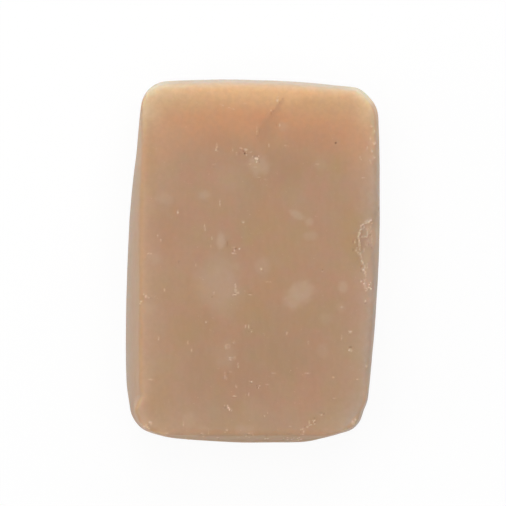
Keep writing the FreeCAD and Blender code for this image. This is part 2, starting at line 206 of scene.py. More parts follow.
CRUMBS: tuple[Mark, ...] = (
    # Beyond the middle, round the gouge
    Mark(217, 146, 1.8, 4.6, 0.8), Mark(217, 148.6, 3, 1.2, 0.5), Mark(216, 150, 1.8, 2.4, 0.7),
    Mark(217.8, 151.5, 2.8, 1.2, 0.5), Mark(214, 164.4, 4.4, 1.4, 0.4),
    Mark(232.6, 150.4, 1.5, 5, 0.4), Mark(236.6, 154, 1.3, 4, 0.4),
    Mark(241.2, 148.7, 2.8, 1.3, 0.8, turn=-15), Mark(245.6, 149.7, 5, 1.4, 0.8, turn=-8),
    Mark(246.2, 151, 4.2, 1.4, 0.7), Mark(246.4, 153.2, 1.3, 1.2, 0.6),
    Mark(246.6, 155.5, 1.4, 1.2, 0.9), Mark(250, 152.5, 4.4, 1.2, 0.45),
    Mark(255.6, 158.8, 1.8, 2, 1.7), Mark(257.3, 159.4, 1.8, 1.4, 1.7), Mark(256.8, 158.3, 2, 1.2),
    Mark(258.6, 156.6, 1.3, 1.4), Mark(252.5, 156.8, 1.4, 1.6, 0.7),
    Mark(256.6, 162.4, 1.4, 1.5, 1.2), Mark(256.6, 160.6, 1.2, 1.1, 0.7),
    Mark(250, 164.3, 3.4, 1.4, 0.4), Mark(255, 167.6, 7, 1.2, 0.3), Mark(258, 177.7, 4.6, 1.3, 0.4),
    Mark(266, 180, 4, 1.6, 0.35, turn=-10), Mark(268.5, 146, 1.3, 4.4, 0.5),
    Mark(279.6, 126, 1.4, 4.4, 0.6), Mark(222, 105.5, 5, 1.5, 0.5, turn=-22),
    Mark(232, 109, 8, 1.5, 0.5, turn=-14), Mark(196, 103, 4, 1.6, 0.3),
    Mark(245, 104, 4, 1.5, 0.35), Mark(317, 164.5, 5, 1.4, 0.45), Mark(286, 146, 4.4, 1.8, 0.45),
    # Along the fold
    Mark(278.2, 97.6, 3.2, 1.6, 0.5, turn=20), Mark(277.2, 101.2, 2.4, 3, 0.75, turn=-20),
    Mark(271, 111, 1.9, 1.9, 0.6), Mark(256.7, 131, 1.4, 9.5, 0.5),
    # The left half
    Mark(135, 194, 2, 2, 0.8), Mark(220, 203, 1.6, 7.5, 0.6), Mark(178, 212, 1.8, 5, 0.9),
    Mark(205, 228, 1.6, 8, 0.6, turn=4), Mark(212, 238, 1.6, 4, 0.5), Mark(211, 246, 1.6, 4, 0.4),
    Mark(158, 236, 1.6, 3.5, 0.5), Mark(161, 240.5, 1.6, 3.6, 0.5), Mark(150, 253.8, 5, 1.6, 0.8),
    Mark(196, 265, 1.6, 4, 0.5), Mark(214, 293, 1.6, 3.5, 0.5), Mark(164.6, 290, 1.6, 3.4, 0.6),
    Mark(146.6, 296.4, 2.8, 3.2, turn=30), Mark(149.4, 297.4, 3.2, 1.5, 0.7),
    Mark(142, 301.4, 3, 2, 0.8, turn=30), Mark(140.6, 303.6, 1.6, 1.6, 0.6),
    Mark(144.4, 294.6, 1.4, 1.4, 0.6), Mark(206, 322, 2.2, 2.2, 0.6),
    Mark(159, 338, 1.6, 4.5, 0.55), Mark(188, 342, 1.6, 4, 0.5), Mark(192, 350, 1.6, 4.5, 0.5),
    # Down the middle
    Mark(243, 222, 2.6, 2.6, 0.7), Mark(234.5, 250.3, 1.4, 3.4, 0.8),
    Mark(234, 253.5, 4.4, 1.3, 1.3), Mark(233.8, 247.6, 4.4, 1.8, 0.35),
    Mark(239.3, 249, 1.8, 2, 1.3), Mark(261, 269, 2.2, 2.4, 0.9), Mark(268, 282, 6, 1.6, 0.4),
    Mark(235.5, 286, 1.5, 5.4, 0.8), Mark(235.6, 290.4, 2.6, 4, 0.6),
    Mark(237.4, 292.8, 4, 2.8, 0.6), Mark(235, 294.6, 2.8, 1.4), Mark(233, 295, 1.6, 2.4, 0.5),
    Mark(250, 294.6, 4.4, 1.3, 0.7), Mark(245.5, 326, 1.4, 4.4, 0.8),
    Mark(248.6, 326.4, 1.6, 5.4, 0.6), Mark(251.4, 331.5, 1.4, 1.4, 0.9),
    Mark(234, 342, 3.4, 3, 0.5), Mark(227, 346.4, 6, 5.4, 0.5), Mark(230, 357.6, 4.4, 1.3, 0.9),
    Mark(230, 359.7, 4.4, 1.6, 0.7), Mark(234, 358, 4, 4, 0.3), Mark(238, 365, 1.8, 6, 0.5),
    Mark(224.8, 375, 1.6, 8, 0.5), Mark(226, 378, 3, 3.6, 0.4), Mark(230, 371.5, 4, 1.3, 0.5),
    Mark(236, 386, 2.2, 4.4, 0.5), Mark(251.3, 381.5, 1.6, 1.5, 1.5),
    Mark(249.4, 380.8, 1.8, 1.4, 0.4), Mark(259.5, 385.5, 1.4, 1.4, 0.9),
    Mark(258.4, 387.4, 1.4, 1.4, 1.4), Mark(234, 395.6, 4.4, 1.4, 0.9),
    Mark(248.5, 394, 1.3, 4.4, 0.6), Mark(227.6, 405.4, 1.8, 2.2, 0.8),
    Mark(228.3, 407.2, 2.2, 2, 1.5, turn=-30), Mark(229.4, 408.9, 1.6, 2.2, 1.6),
    Mark(224.5, 405, 1.3, 1.6, 0.6), Mark(231.5, 409.5, 1.2, 3.2, 0.7), Mark(267, 384, 4, 1.4, 0.4),
    Mark(273, 373, 5, 1.5, 0.5), Mark(287, 333, 2.2, 3.2, 0.5), Mark(267.4, 412.4, 1.4, 1.4, 0.6),
    Mark(264.5, 415.4, 1.4, 1.4, 0.7), Mark(290, 425.6, 3, 1.4, 0.45),
    # The right half
    Mark(308, 342, 1.6, 4, 0.5), Mark(307, 373, 6, 1.5, 0.5), Mark(341, 307, 4, 2, 0.5),
    Mark(350, 332, 4.5, 3, 0.8), Mark(341, 337, 1.6, 6, 0.4), Mark(350, 350, 4, 2.6, 1.1, turn=-20),
    Mark(333, 377, 2.2, 2.2, 0.6), Mark(366, 366, 2.6, 2.6, 0.8), Mark(357, 379, 4, 1.6, 0.7),
    Mark(322, 271, 1.8, 1.8, 0.4), Mark(334, 398, 4, 1.4, 0.5), Mark(321.2, 414.5, 2.6, 1.4, 1.4),
    Mark(314, 419.9, 3, 1.6), Mark(313.4, 421.4, 1.2, 1.2), Mark(314.4, 423.3, 1.8, 1.2, 0.9),
    Mark(309, 422, 1.6, 4.4, 0.7), Mark(309.4, 424.5, 4.6, 1.3, 0.7, turn=10),
    Mark(307.3, 426.5, 1.9, 1.3), Mark(302.5, 428.6, 1.4, 1.4, 0.8),
    Mark(300.6, 428.8, 1.2, 1.4, 0.6), Mark(303.4, 431, 1.4, 2.2, 0.9),
    Mark(302, 433.5, 4.4, 1.2, 0.6), Mark(325.8, 428.5, 4.4, 1.2, 0.5),
    # The near corners and the near side
    Mark(352.2, 422, 3.2, 4.2, 0.8), Mark(355, 418.6, 1.9, 1.9, 1.5),
    Mark(352.6, 418.4, 1.6, 1.8, 0.6), Mark(357.2, 421.6, 3.4, 1.6, 0.7, turn=30),
    Mark(342, 429.8, 4.4, 3, 0.5), Mark(345.4, 428.8, 2.2, 1.4, 0.6),
    Mark(150, 422.4, 4.4, 1.4, 0.8), Mark(151.5, 424.4, 1.4, 2.2, 0.6),
    Mark(147, 424.2, 3, 1.8, 0.5, turn=30), Mark(147.8, 426.5, 1.9, 1.4, 0.9),
    Mark(144.6, 425.6, 1.6, 1.4, 0.7), Mark(149.4, 427.7, 2.6, 1.4, 0.6),
    Mark(183.4, 424, 1.3, 8, 0.4), Mark(166, 432.7, 5.4, 1.5, 0.45),
    Mark(186, 437.4, 2.2, 2.6, 0.6), Mark(188.6, 438.8, 2.6, 1.4, 0.5),
    Mark(202.6, 433.2, 3.2, 2.2, 0.7), Mark(203, 435.6, 2.4, 1.2, 0.8),
    Mark(208.5, 431, 1.3, 6, 0.4), Mark(217.4, 436.7, 3.4, 1.4, 0.9),
    Mark(226.7, 429.4, 2.4, 1.5, 0.8), Mark(225, 431.5, 2, 1.2, 0.6),
    Mark(238, 436.5, 4.4, 1.2, 0.5), Mark(246, 435.4, 3.2, 1.5, 0.6, turn=20),
    Mark(250, 432.7, 5.4, 1.3, 0.5), Mark(249, 436.5, 1.6, 1.4, 0.6), Mark(253, 434, 1.8, 3, 0.4),
    Mark(265, 438, 2.1, 2.4, 1.1), Mark(267.6, 437.8, 2.2, 2.2, 0.9), Mark(287.4, 436.7, 1.4, 1.4),
    Mark(287.4, 439, 1.9, 1.5, 0.9), Mark(283.4, 437.6, 1.8, 1.4, 0.6),
    Mark(291.5, 438.5, 2, 1.4, 1.1), Mark(293.6, 437.3, 1.4, 1.6, 0.8),
    Mark(297.4, 437.6, 1.4, 1.8), Mark(299.2, 436.6, 1.9, 1.3, 0.9), Mark(298.4, 439.3, 1.9, 1.3),
    Mark(301, 438.6, 2.6, 1.5, 1.6), Mark(310, 437.5, 3, 1.4, 0.4),
    # Specks along the right rim and the left side
    Mark(371, 127, 4, 1.6, 0.6), Mark(374, 132, 1.6, 3.4, 0.8), Mark(370, 139, 1.6, 5, 0.7),
    Mark(374, 144, 3.4, 2.2, 0.9, turn=20), Mark(367, 148, 1.6, 4, 0.7, turn=-20),
    Mark(371, 151, 1.6, 4, 0.9, turn=20), Mark(360, 158, 1.6, 4.6, 0.6, turn=20),
    Mark(374, 158, 2.2, 2.2, 0.9), Mark(370, 162, 1.6, 4.4, 0.7, turn=20),
    Mark(363, 178, 5, 1.6, 0.5), Mark(133, 373, 4, 1.8, 0.8, turn=-20),
    Mark(137, 376, 1.6, 3.6, 0.9), Mark(151, 379, 6, 2.2, 0.5), Mark(134, 401, 2.6, 3.6, 0.8),
    # The chip: its broken far end
    Mark(370.6, 220.6, 1.6, 1.5, 1.9), Mark(368.5, 222.3, 1.6, 2, 1.4),
    Mark(371.5, 223.5, 1.4, 1.3), Mark(366.4, 222.6, 2.8, 3.4, 0.9, turn=-40),
    Mark(366.9, 220.4, 1.5, 1.2, 0.7), Mark(364.8, 221.4, 1.5, 1.5, 0.4),
    Mark(362.2, 224.8, 3.8, 1.6, turn=10), Mark(360.7, 227, 1.6, 4, 0.9),
    Mark(363.8, 227.2, 2, 1.8), Mark(361.4, 229.3, 4, 1.6, 0.9, turn=20),
    Mark(359.2, 233, 2.6, 6.6), Mark(358.2, 237.4, 2, 5, 0.9, turn=8),
    Mark(358.7, 240.8, 1.5, 2.2, 1.5), Mark(364, 237, 8.4, 1.5, 0.9),
    Mark(367.2, 232.4, 1.8, 8.4, 0.7), Mark(359.4, 245.6, 2.2, 9, 0.8),
    Mark(354.6, 242, 1.5, 4.4, 0.7), Mark(356.4, 247.8, 1.6, 1.3, 0.8),
    Mark(356, 250.2, 3.4, 3.4, 0.6), Mark(358.4, 253.4, 2.6, 4.6, 0.8, turn=35),
    Mark(363.6, 250, 1.3, 4.6, 0.5), Mark(371.4, 239.6, 1.8, 12, 0.5),
    # The chip: its near half
    Mark(361.4, 261, 1.7, 2.4, 0.7, turn=35), Mark(362.6, 263, 1.5, 2, 0.9),
    Mark(364.4, 267, 2, 5.4, 0.8), Mark(366.8, 266, 1.3, 5, 0.5), Mark(363, 270, 2.3, 2.4, 1.3),
    Mark(365, 273.6, 2.2, 5.4, 0.8), Mark(361, 281.6, 1.9, 2.8, 0.9, turn=20),
    Mark(363.5, 283.4, 1.8, 1.3, 1.6), Mark(364.6, 286, 2, 6, 0.5),
    Mark(368.6, 284.5, 1.5, 1.4, 1.3), Mark(370.4, 282.6, 2, 1.3, 0.9),
    Mark(368.4, 287.4, 1.5, 1.4, 1.4), Mark(370.2, 288.5, 1.9, 1.7, 1.7),
    Mark(366.6, 288.8, 1.7, 3.2, turn=30), Mark(365.4, 290.6, 2.2, 1.6, 0.7),
    Mark(364.9, 301, 2.2, 2.2, 0.9),
    # Laid last: broad flecks in the chip and at the near corners
    Mark(368.5, 230, 6, 9, 0.5), Mark(367, 243.5, 6, 7, 0.35), Mark(353, 422, 4, 5, 0.6),
    Mark(355, 419, 2.4, 2.6), Mark(149.8, 422.3, 3.6, 1.8), Mark(146.5, 425.6, 3.2, 2.4, 0.9),
    Mark(144.6, 428.4, 2.2, 1.8, 0.7),
)

CLOUDS: tuple[Mark, ...] = (
    Mark(258, 166, 22, 18, 0.7), Mark(254, 161, 10, 8, 0.8), Mark(300, 293, 28, 21, 0.7, turn=30),
    Mark(293, 300, 18, 16, 0.6, turn=30), Mark(306, 289, 16, 13, 0.55), Mark(343, 287, 10, 12, 0.6),
    Mark(297, 215, 16, 8, 0.7, turn=-25), Mark(309, 222, 8, 8, 0.55), Mark(310, 236, 14, 9, 0.4),
    Mark(221, 241, 8, 16, 0.8), Mark(205, 195, 11, 9, 0.5), Mark(165, 199, 16, 11, 0.4),
    Mark(283, 127, 9, 10, 0.4), Mark(320, 165, 14, 11, 0.2), Mark(155, 258, 12, 10, 0.4),
    Mark(218, 285, 42, 56, 0.42, turn=8), Mark(207, 278, 14, 34, 0.3), Mark(235, 267, 10, 10, 0.3),
    Mark(262, 266, 14, 16, 0.3), Mark(228, 178, 40, 26, 0.15), Mark(341, 307, 10, 9, 0.35),
    Mark(326, 318, 12, 12, 0.25), Mark(323, 350, 12, 14, 0.3), Mark(148, 308, 16, 14, 0.4),
    Mark(189, 420, 14, 16, 0.45), Mark(181, 434, 44, 9, 0.5, turn=2), Mark(204, 430, 12, 12, 0.4),
    Mark(245, 430, 20, 12, 0.45), Mark(226, 356, 20, 26, 0.25), Mark(250, 408, 18, 22, 0.2),
    Mark(332, 424, 28, 14, 0.35), Mark(145, 392, 12, 24, 0.3), Mark(144, 424, 12, 12, 0.4),
    Mark(367, 230, 11, 24, 0.8), Mark(366, 256, 11, 20, 0.85), Mark(368, 274, 9, 26, 0.7),
    Mark(375, 236, 7, 32, 0.9), Mark(376, 146, 5, 34, 0.6), Mark(366, 394, 4, 20, 0.45, turn=-4),
    Mark(362.5, 406, 5, 20, 0.9, turn=-18), Mark(354, 420, 6, 18, 0.9, turn=-42),
    Mark(376, 258, 5, 16, 0.9),
)

# Pits, and specks beside crumbs, which get painted shade and painted shadow
PITS: tuple[Mark, ...] = (
    # The skin is bridged over the first three before they are worn in
    Mark(335.5, 143.5, 1.95, 1.95), Mark(322, 270, 1.4, 1.4, 0.5),
    Mark(244.8, 153.8, 2.2, 2.2, 0.85, turn=-30), Mark(243.4, 151.5, 2.6, 1.3, 0.5, turn=-25),
    Mark(247.4, 153.6, 1.3, 1.4, 0.4), Mark(240.5, 150.2, 1.5, 1.3, 0.25),
    Mark(239.2, 154, 1.4, 4, 0.15), Mark(254.2, 156.5, 1.9, 1.2, 0.35),
    Mark(253.5, 158.5, 1.3, 1.2, 0.35), Mark(257.6, 156.5, 1.2, 1.2, 0.35),
    Mark(259.4, 162.4, 1.4, 1.3, 0.4), Mark(258.8, 160.4, 1.3, 1.2, 0.3),
    Mark(218.6, 149.5, 2.2, 1.2, 0.2), Mark(214, 167.4, 4.4, 1.3, 0.12),
    Mark(276.7, 126, 1.3, 4.4, 0.15), Mark(286, 144.5, 4.4, 1.2, 0.12),
    Mark(282.4, 99.4, 2.4, 1.5, 0.2, turn=30), Mark(279.5, 103, 1.5, 2, 0.25),
    Mark(273.4, 111.6, 3, 1.2, 0.2), Mark(271.5, 114, 1.2, 3.4, 0.2),
    Mark(259.5, 132, 1.2, 7, 0.16), Mark(257, 136.6, 2.2, 1.2, 0.2), Mark(212, 297, 1.6, 1.6, 0.3),
    Mark(179, 262, 1.6, 4, 0.2), Mark(151, 298, 1.5, 1.5, 0.3), Mark(227.5, 244, 1.4, 8, 0.3),
    Mark(235.7, 248.8, 1.6, 1.8, 0.5), Mark(232.5, 251.4, 1.3, 1.4, 0.3),
    Mark(263, 271.4, 2, 1.4, 0.2), Mark(235, 293.5, 2.2, 1.2, 0.4),
    Mark(250, 293.4, 4.4, 1.1, 0.25), Mark(251.4, 328.5, 1.3, 1.2, 0.3),
    Mark(248.5, 331.4, 1.2, 1.2, 0.3), Mark(227.5, 373.5, 1.3, 4, 0.15),
    Mark(251, 380.3, 2.2, 1.1, 0.3), Mark(250.6, 382.7, 3, 1.2, 0.25),
    Mark(256.5, 385.5, 1.2, 1.4, 0.5), Mark(257.4, 387.6, 1.3, 1.3, 0.8),
    Mark(259.6, 387, 1.2, 1.4, 0.4), Mark(225, 407.3, 1.6, 1.6, 0.35),
    Mark(230.5, 409.6, 1.2, 2.2, 0.3), Mark(350, 347, 4, 1.5, 0.4),
    Mark(323.5, 413.5, 1.5, 1.5, 0.6), Mark(320.4, 412.5, 6, 1.1, 0.15),
    Mark(314.3, 422, 1.5, 1.3, 0.45), Mark(314, 417.6, 2.8, 2.2, 0.2),
    Mark(304.5, 426.4, 1.3, 1.4, 0.35), Mark(300.6, 431.4, 1.2, 1.6, 0.35),
    Mark(288.6, 433.4, 6, 1.1, 0.25), Mark(266, 434.4, 4, 1.1, 0.25), Mark(266, 436.4, 2, 1.1, 0.3),
    Mark(283.2, 439.4, 2, 1.2, 0.35), Mark(284.8, 437.6, 1.2, 1.4, 0.3),
    Mark(292.5, 437.4, 1.1, 1.4, 0.25), Mark(296.3, 437.8, 1.1, 1.4, 0.25),
    Mark(247.3, 434.4, 2, 1.2, 0.45), Mark(244.6, 435.4, 1.4, 1.4, 0.3),
    Mark(251.2, 434.7, 2.4, 1.1, 0.25), Mark(218.6, 438.5, 1.8, 1.8, 0.3),
    Mark(201.4, 433.8, 1.5, 1.6, 0.35), Mark(206, 435, 3.6, 1.4, 0.15),
    Mark(182, 433.4, 3.6, 1.3, 0.2), Mark(169, 434.6, 4, 1.1, 0.2),
    Mark(148.5, 424.6, 1.4, 1.3, 0.3), Mark(145.6, 428.5, 1.4, 1.3, 0.3),
    Mark(355.4, 425.4, 1.6, 1.4, 0.4), Mark(323, 438, 5, 1.4, 0.2),
    Mark(367.5, 221.4, 1.3, 1.3, 0.4), Mark(371.6, 221.6, 1.2, 2, 0.35),
    Mark(365, 224.4, 1.4, 1.3, 0.3), Mark(362, 226.6, 1.5, 1.4, 0.3),
    Mark(352.9, 242, 1.2, 4, 0.25), Mark(357.6, 240.8, 1.2, 1.5, 0.3),
    Mark(352.7, 250, 1.2, 4, 0.25), Mark(368.4, 244.5, 1.3, 2.6, 0.35),
    Mark(370.2, 235, 3.4, 1.3, 0.3), Mark(371.6, 247.4, 1.3, 1.4, 0.3),
    Mark(360.8, 266.8, 1.3, 4.4, 0.3), Mark(360.7, 271, 1.3, 1.5, 0.4),
    Mark(361.6, 279.8, 1.8, 1.2, 0.25), Mark(371.5, 282.4, 1.3, 1.4, 0.3),
    Mark(369.6, 285.8, 1.6, 1.2, 0.3), Mark(371.6, 287.2, 1.3, 1.3, 0.4),
    Mark(368.6, 289.6, 1.5, 1.2, 0.35), Mark(364.9, 303.3, 2, 1.2, 0.35),
    Mark(378.6, 209, 2, 1.8, 0.8), Mark(378.2, 262, 2, 2.4, 0.8),
)

STAINS: dict[Field, tuple[Mark, ...]] = {
    Field.FLUSH: (
        Mark(284, 166, 40, 44, 0.25), Mark(168, 232, 44, 44, 0.3), Mark(332, 382, 54, 50, 0.1),
        # Mark(264, 132) carries the crease's hollow on, painted redder as shade
        Mark(334, 214, 30, 46, 0.25), Mark(264, 132, 13, 26, 0.5, turn=-25),
        Mark(312, 140, 60, 26, 0.35), Mark(218, 140, 40, 26, 0.3), Mark(150, 405, 16, 30, 0.25),
        Mark(238, 345, 10, 30, 0.2, turn=20),
    ),
    Field.OLIVE: (
        Mark(190, 330, 50, 34, 0.32, turn=20), Mark(337, 166, 26, 26, 0.4),
        Mark(262, 222, 44, 50, 0.35), Mark(270, 284, 34, 34, 0.35), Mark(198, 295, 36, 36, 0.35),
        Mark(365.5, 256, 9, 15, 0.7), Mark(351, 236, 18, 54, 0.5), Mark(300, 168, 14, 14, 0.2),
        Mark(268, 240, 26, 60, 0.25, turn=-20), Mark(150, 160, 14, 80, 0.35),
        Mark(252, 310, 40, 44, 0.3), Mark(290, 246, 44, 36, 0.2), Mark(160, 400, 26, 60, 0.3),
        Mark(330, 425, 40, 16, 0.45), Mark(362, 385, 14, 60, 0.4, turn=5),
        Mark(164, 290, 26, 30, 0.2),
    ),
    Field.SHADE: (
        Mark(275, 350, 96, 52, 0.42), Mark(195, 328, 40, 30, 0.4), Mark(245, 372, 70, 60, 0.35),
        Mark(200, 372, 30, 70, 0.3), Mark(286, 170, 44, 36, 0.35), Mark(250, 190, 26, 60, 0.25),
        # Mark(268, 134) carries the crease's hollow on, as painted shade
        Mark(268, 318, 60, 40, 0.28), Mark(268, 134, 15, 30, 0.4, turn=-20),
        Mark(168, 222, 34, 50, 0.2), Mark(325, 318, 60, 50, 0.15), Mark(370.5, 121, 7, 18, 0.3),
        Mark(326, 437, 44, 8, 0.6), Mark(152, 429.5, 13, 7, 0.55, turn=-20),
        Mark(270, 438, 70, 6, 0.2), Mark(230, 400, 60, 30, 0.2),
    ),
    Field.WARM: (
        # Painted glow at the far end
        Mark(328, 106, 60, 26, 0.5), Mark(185, 104, 70, 20, 0.3),
    ),
    Field.LILAC: (
        Mark(222, 278, 44, 54, 0.55), Mark(246, 208, 20, 44, 0.25), Mark(221, 240, 14, 22, 0.35),
        Mark(330, 215, 26, 40, 0.2), Mark(262, 268, 16, 30, 0.3), Mark(205, 408, 40, 30, 0.3),
        Mark(270, 420, 40, 24, 0.3), Mark(302, 200, 34, 30, 0.2),
    ),
}


@dataclass(frozen=True)
class Fade:
    """A smooth rise from 0 at `low` to 1 at `high`, or a fall where `low` is the larger."""

    low: float
    high: float

    def at(self, value: np.ndarray) -> np.ndarray:
        """The height that the rise has at each value."""
        part = np.clip((value - self.low) / (self.high - self.low), 0.0, 1.0)
        return part * part * (3.0 - 2.0 * part)


@dataclass(frozen=True)
class Rough:
    """A smooth random field, with values between about -1 and 1.

    `size` is how large its features are in millimetres, `octaves` how many finer layers it has, and
    `seed` a shift that makes one field unlike another. Each layer is finer than the last by
    `ratio`, and weaker by that to the power of `decay`.
    """

    size: float
    octaves: int
    seed: float
    decay: float = 0.8
    ratio: float = 2.0

    def at(self, points: np.ndarray, number: int = 0) -> np.ndarray:
        """Sample the field.

        Args:
            points: Places in millimetres, one row each.
            number: A further shift, which the marks of one kind take from their order.

        Returns:
            One value for each place.
        """
        seed = self.seed + number
        shift = Vector((seed, 2.0 * seed, -seed))
        layers = (self.decay, self.ratio, self.octaves)
        return np.array([noise.fractal(Vector(row) / self.size + shift, *layers) for row in points])


def bell(gap: np.ndarray, width: Union[float, np.ndarray]) -> np.ndarray:
    """Fall off to both sides of 0, to about a third at `width`."""
    return np.exp(-((gap / width) ** 2))


def sink(depth: np.ndarray, reach: float) -> np.ndarray:
    """Fall off from 1 at a depth of 0 or less, to about a third at `reach`."""
    return np.exp(-np.maximum(0.0, depth) / reach)


def lift(share: np.ndarray, least: float) -> np.ndarray:
    """Squeeze shares from 0 to 1 into the span from `least` to 1."""
    return least + (1.0 - least) * share


def stepped(line: Line, step: float) -> list[Place]:
    """Find places at even steps along a broken line.

    Args:
        line: The line's corners.
        step: The longest step.

    Returns:
        The places, with every corner among them.
    """
    places = []
    for (x, y), (next_x, next_y) in zip(line, line[1:]):
        parts = max(1, math.ceil(math.hypot(next_x - x, next_y - y) / step))
        for part in range(parts):
            share = part / parts
            places.append((x + (next_x - x) * share, y + (next_y - y) * share))
    return places + [line[-1]]


def line_distance(flat: np.ndarray, line: Sequence[Place]) -> tuple[np.ndarray, np.ndarray]:
    """Measure from places to a broken line.

    Args:
        flat: Places across and along the bar, one row each.
        line: The line's corners, from its start to its end.

    Returns:
        The signed distance, positive to the right of the line, and how far along the line the
        nearest point lies, from 0 to 1.
    """
    corners = np.array(line)
    spans = np.linalg.norm(np.diff(corners, axis=0), axis=1)
    reached = np.concatenate([[0.0], np.cumsum(spans)])
    best = np.full(len(flat), np.inf)
    side = np.ones(len(flat))
    along = np.zeros(len(flat))
    for start, end, span, before in zip(corners, corners[1:], spans, reached):
        forward = (end - start) / span
        offset = flat - start
        travel = np.clip(offset @ forward, 0.0, span)
        gap = np.linalg.norm(offset - np.outer(travel, forward), axis=1)
        nearer = gap < best
        best = np.where(nearer, gap, best)
        turn = offset[:, 0] * forward[1] - offset[:, 1] * forward[0]
        side = np.where(nearer, np.sign(turn), side)
        along = np.where(nearer, (before + travel) / reached[-1], along)
    return best * side, along


@dataclass
class Skin:
    """The bar's fine skin as arrays: places, normals and painted layers, in millimetres."""

    mesh: bpy.types.Mesh
    points: np.ndarray = field(init=False)
    normals: np.ndarray = field(init=False)
    paint: dict[Field, np.ndarray] = field(init=False)

    def __post_init__(self) -> None:
        """Read the mesh into arrays."""
        count = len(self.mesh.vertices)
        flat = np.empty(count * 3)
        self.mesh.vertices.foreach_get("co", flat)
        self.points = flat.reshape(count, 3) / MM
        facing = np.empty(count * 3)
        self.mesh.vertices.foreach_get("normal", facing)
        self.normals = facing.reshape(count, 3)
        self.paint = {layer: np.zeros(count) for layer in Field}

    def near(self, middle: Place, reach: float, above: float) -> np.ndarray:
        """The numbers of the points that lie round a place and above a height."""
        across = np.abs(self.points[:, 0] - middle[0]) < reach
        along = np.abs(self.points[:, 1] - middle[1]) < reach
        return np.nonzero(across & along & (self.points[:, 2] > above))[0]

    def push(self, chosen: np.ndarray, amount: np.ndarray) -> None:
        """Move points out along their normals, or in where the amount is negative."""
        self.points[chosen] += self.normals[chosen] * amount[:, None]

    def lay(self, layer: Field, chosen: np.ndarray, amount: np.ndarray) -> None:
        """Paint a layer, where the stronger of two marks wins."""
        self.paint[layer][chosen] = np.maximum(self.paint[layer][chosen], amount)

    def write(self) -> None:
        """Write the places and the painted layers back to the mesh."""
        self.mesh.vertices.foreach_set("co", (self.points * MM).ravel())
        for layer, values in self.paint.items():
            attribute = self.mesh.attributes.new(layer.value, "FLOAT", "POINT")
            attribute.data.foreach_set("value", values)
        self.mesh.update()


@dataclass(frozen=True)
class Form:
    """Where the solid's faces lie, in millimetres, and the bands of them that take fine marks.

    The marks of the front reach down by `front_band`, and those of the near and right sides by
    `near_band`. `chip_middle` is in pixels of the portrait, and `chip_reach` is half the chip's
    size across and along.
    """

    portrait: Portrait = Portrait()
    top: float = field(default_factory=lambda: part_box(NODE)[1][2] / MM)
    near_side: float = -37.0
    near_margin: float = 2.0
    right_side: float = 27.0
    front_band: float = 2.2
    near_band: float = 9.0
    chip_middle: Place = (367, 256)
    chip_reach: Place = (4.5, 10.0)

    def line(self, pixels: Iterable[Place]) -> list[Place]:
        """Turn a line of pixels into millimetres across and along the bar."""
        return [self.portrait.place(x, y) for x, y in pixels]

    def on_side(self, place: Place) -> bool:
        """Whether the portrait shows the near side or the right side at a place."""
        return place[1] < self.near_side - self.near_margin or place[0] > self.right_side


@dataclass(frozen=True)
class Outline:
    """A convex outline of the solid, seen from the front, as its corners in millimetres."""

    corners: np.ndarray
    facing_share: float = 0.72
    least_step: float = 1e-6

    @classmethod
    def of_solid(cls, above: float = -math.inf) -> "Outline":
        """Draw the outline round the solid's points, or round those above a height in metres."""
        points = [vert.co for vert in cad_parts[NODE].data.vertices if vert.co.z > above]
        hull = geometry.convex_hull_2d([point.xy for point in points])
        return cls(np.array([tuple(points[number].xy) for number in hull]) / MM)

    def depth(self, skin: Skin, side: Side) -> np.ndarray:
        """Measure how far inside one side of the outline the skin lies.

        Args:
            skin: The skin.
            side: The side or corner of the outline.

        Returns:
            The distance in millimetres for each point, negative outside.
        """
        steps = np.roll(self.corners, -1, axis=0) - self.corners
        lengths = np.linalg.norm(steps, axis=1)
        keep = lengths > self.least_step
        corners, steps, lengths = self.corners[keep], steps[keep], lengths[keep]
        outward = np.stack([steps[:, 1], -steps[:, 0]], axis=1) / lengths[:, None]
        inward = corners - self.corners.mean(axis=0)
        outward *= np.sign(np.sum(inward * outward, axis=1))[:, None]
        facing = outward @ np.array(side.value) > self.facing_share
        corners, outward = corners[facing], outward[facing]
        reach = np.sum(corners * outward, axis=1)
        return (reach[None, :] - skin.points[:, :2] @ outward.T).min(axis=1)


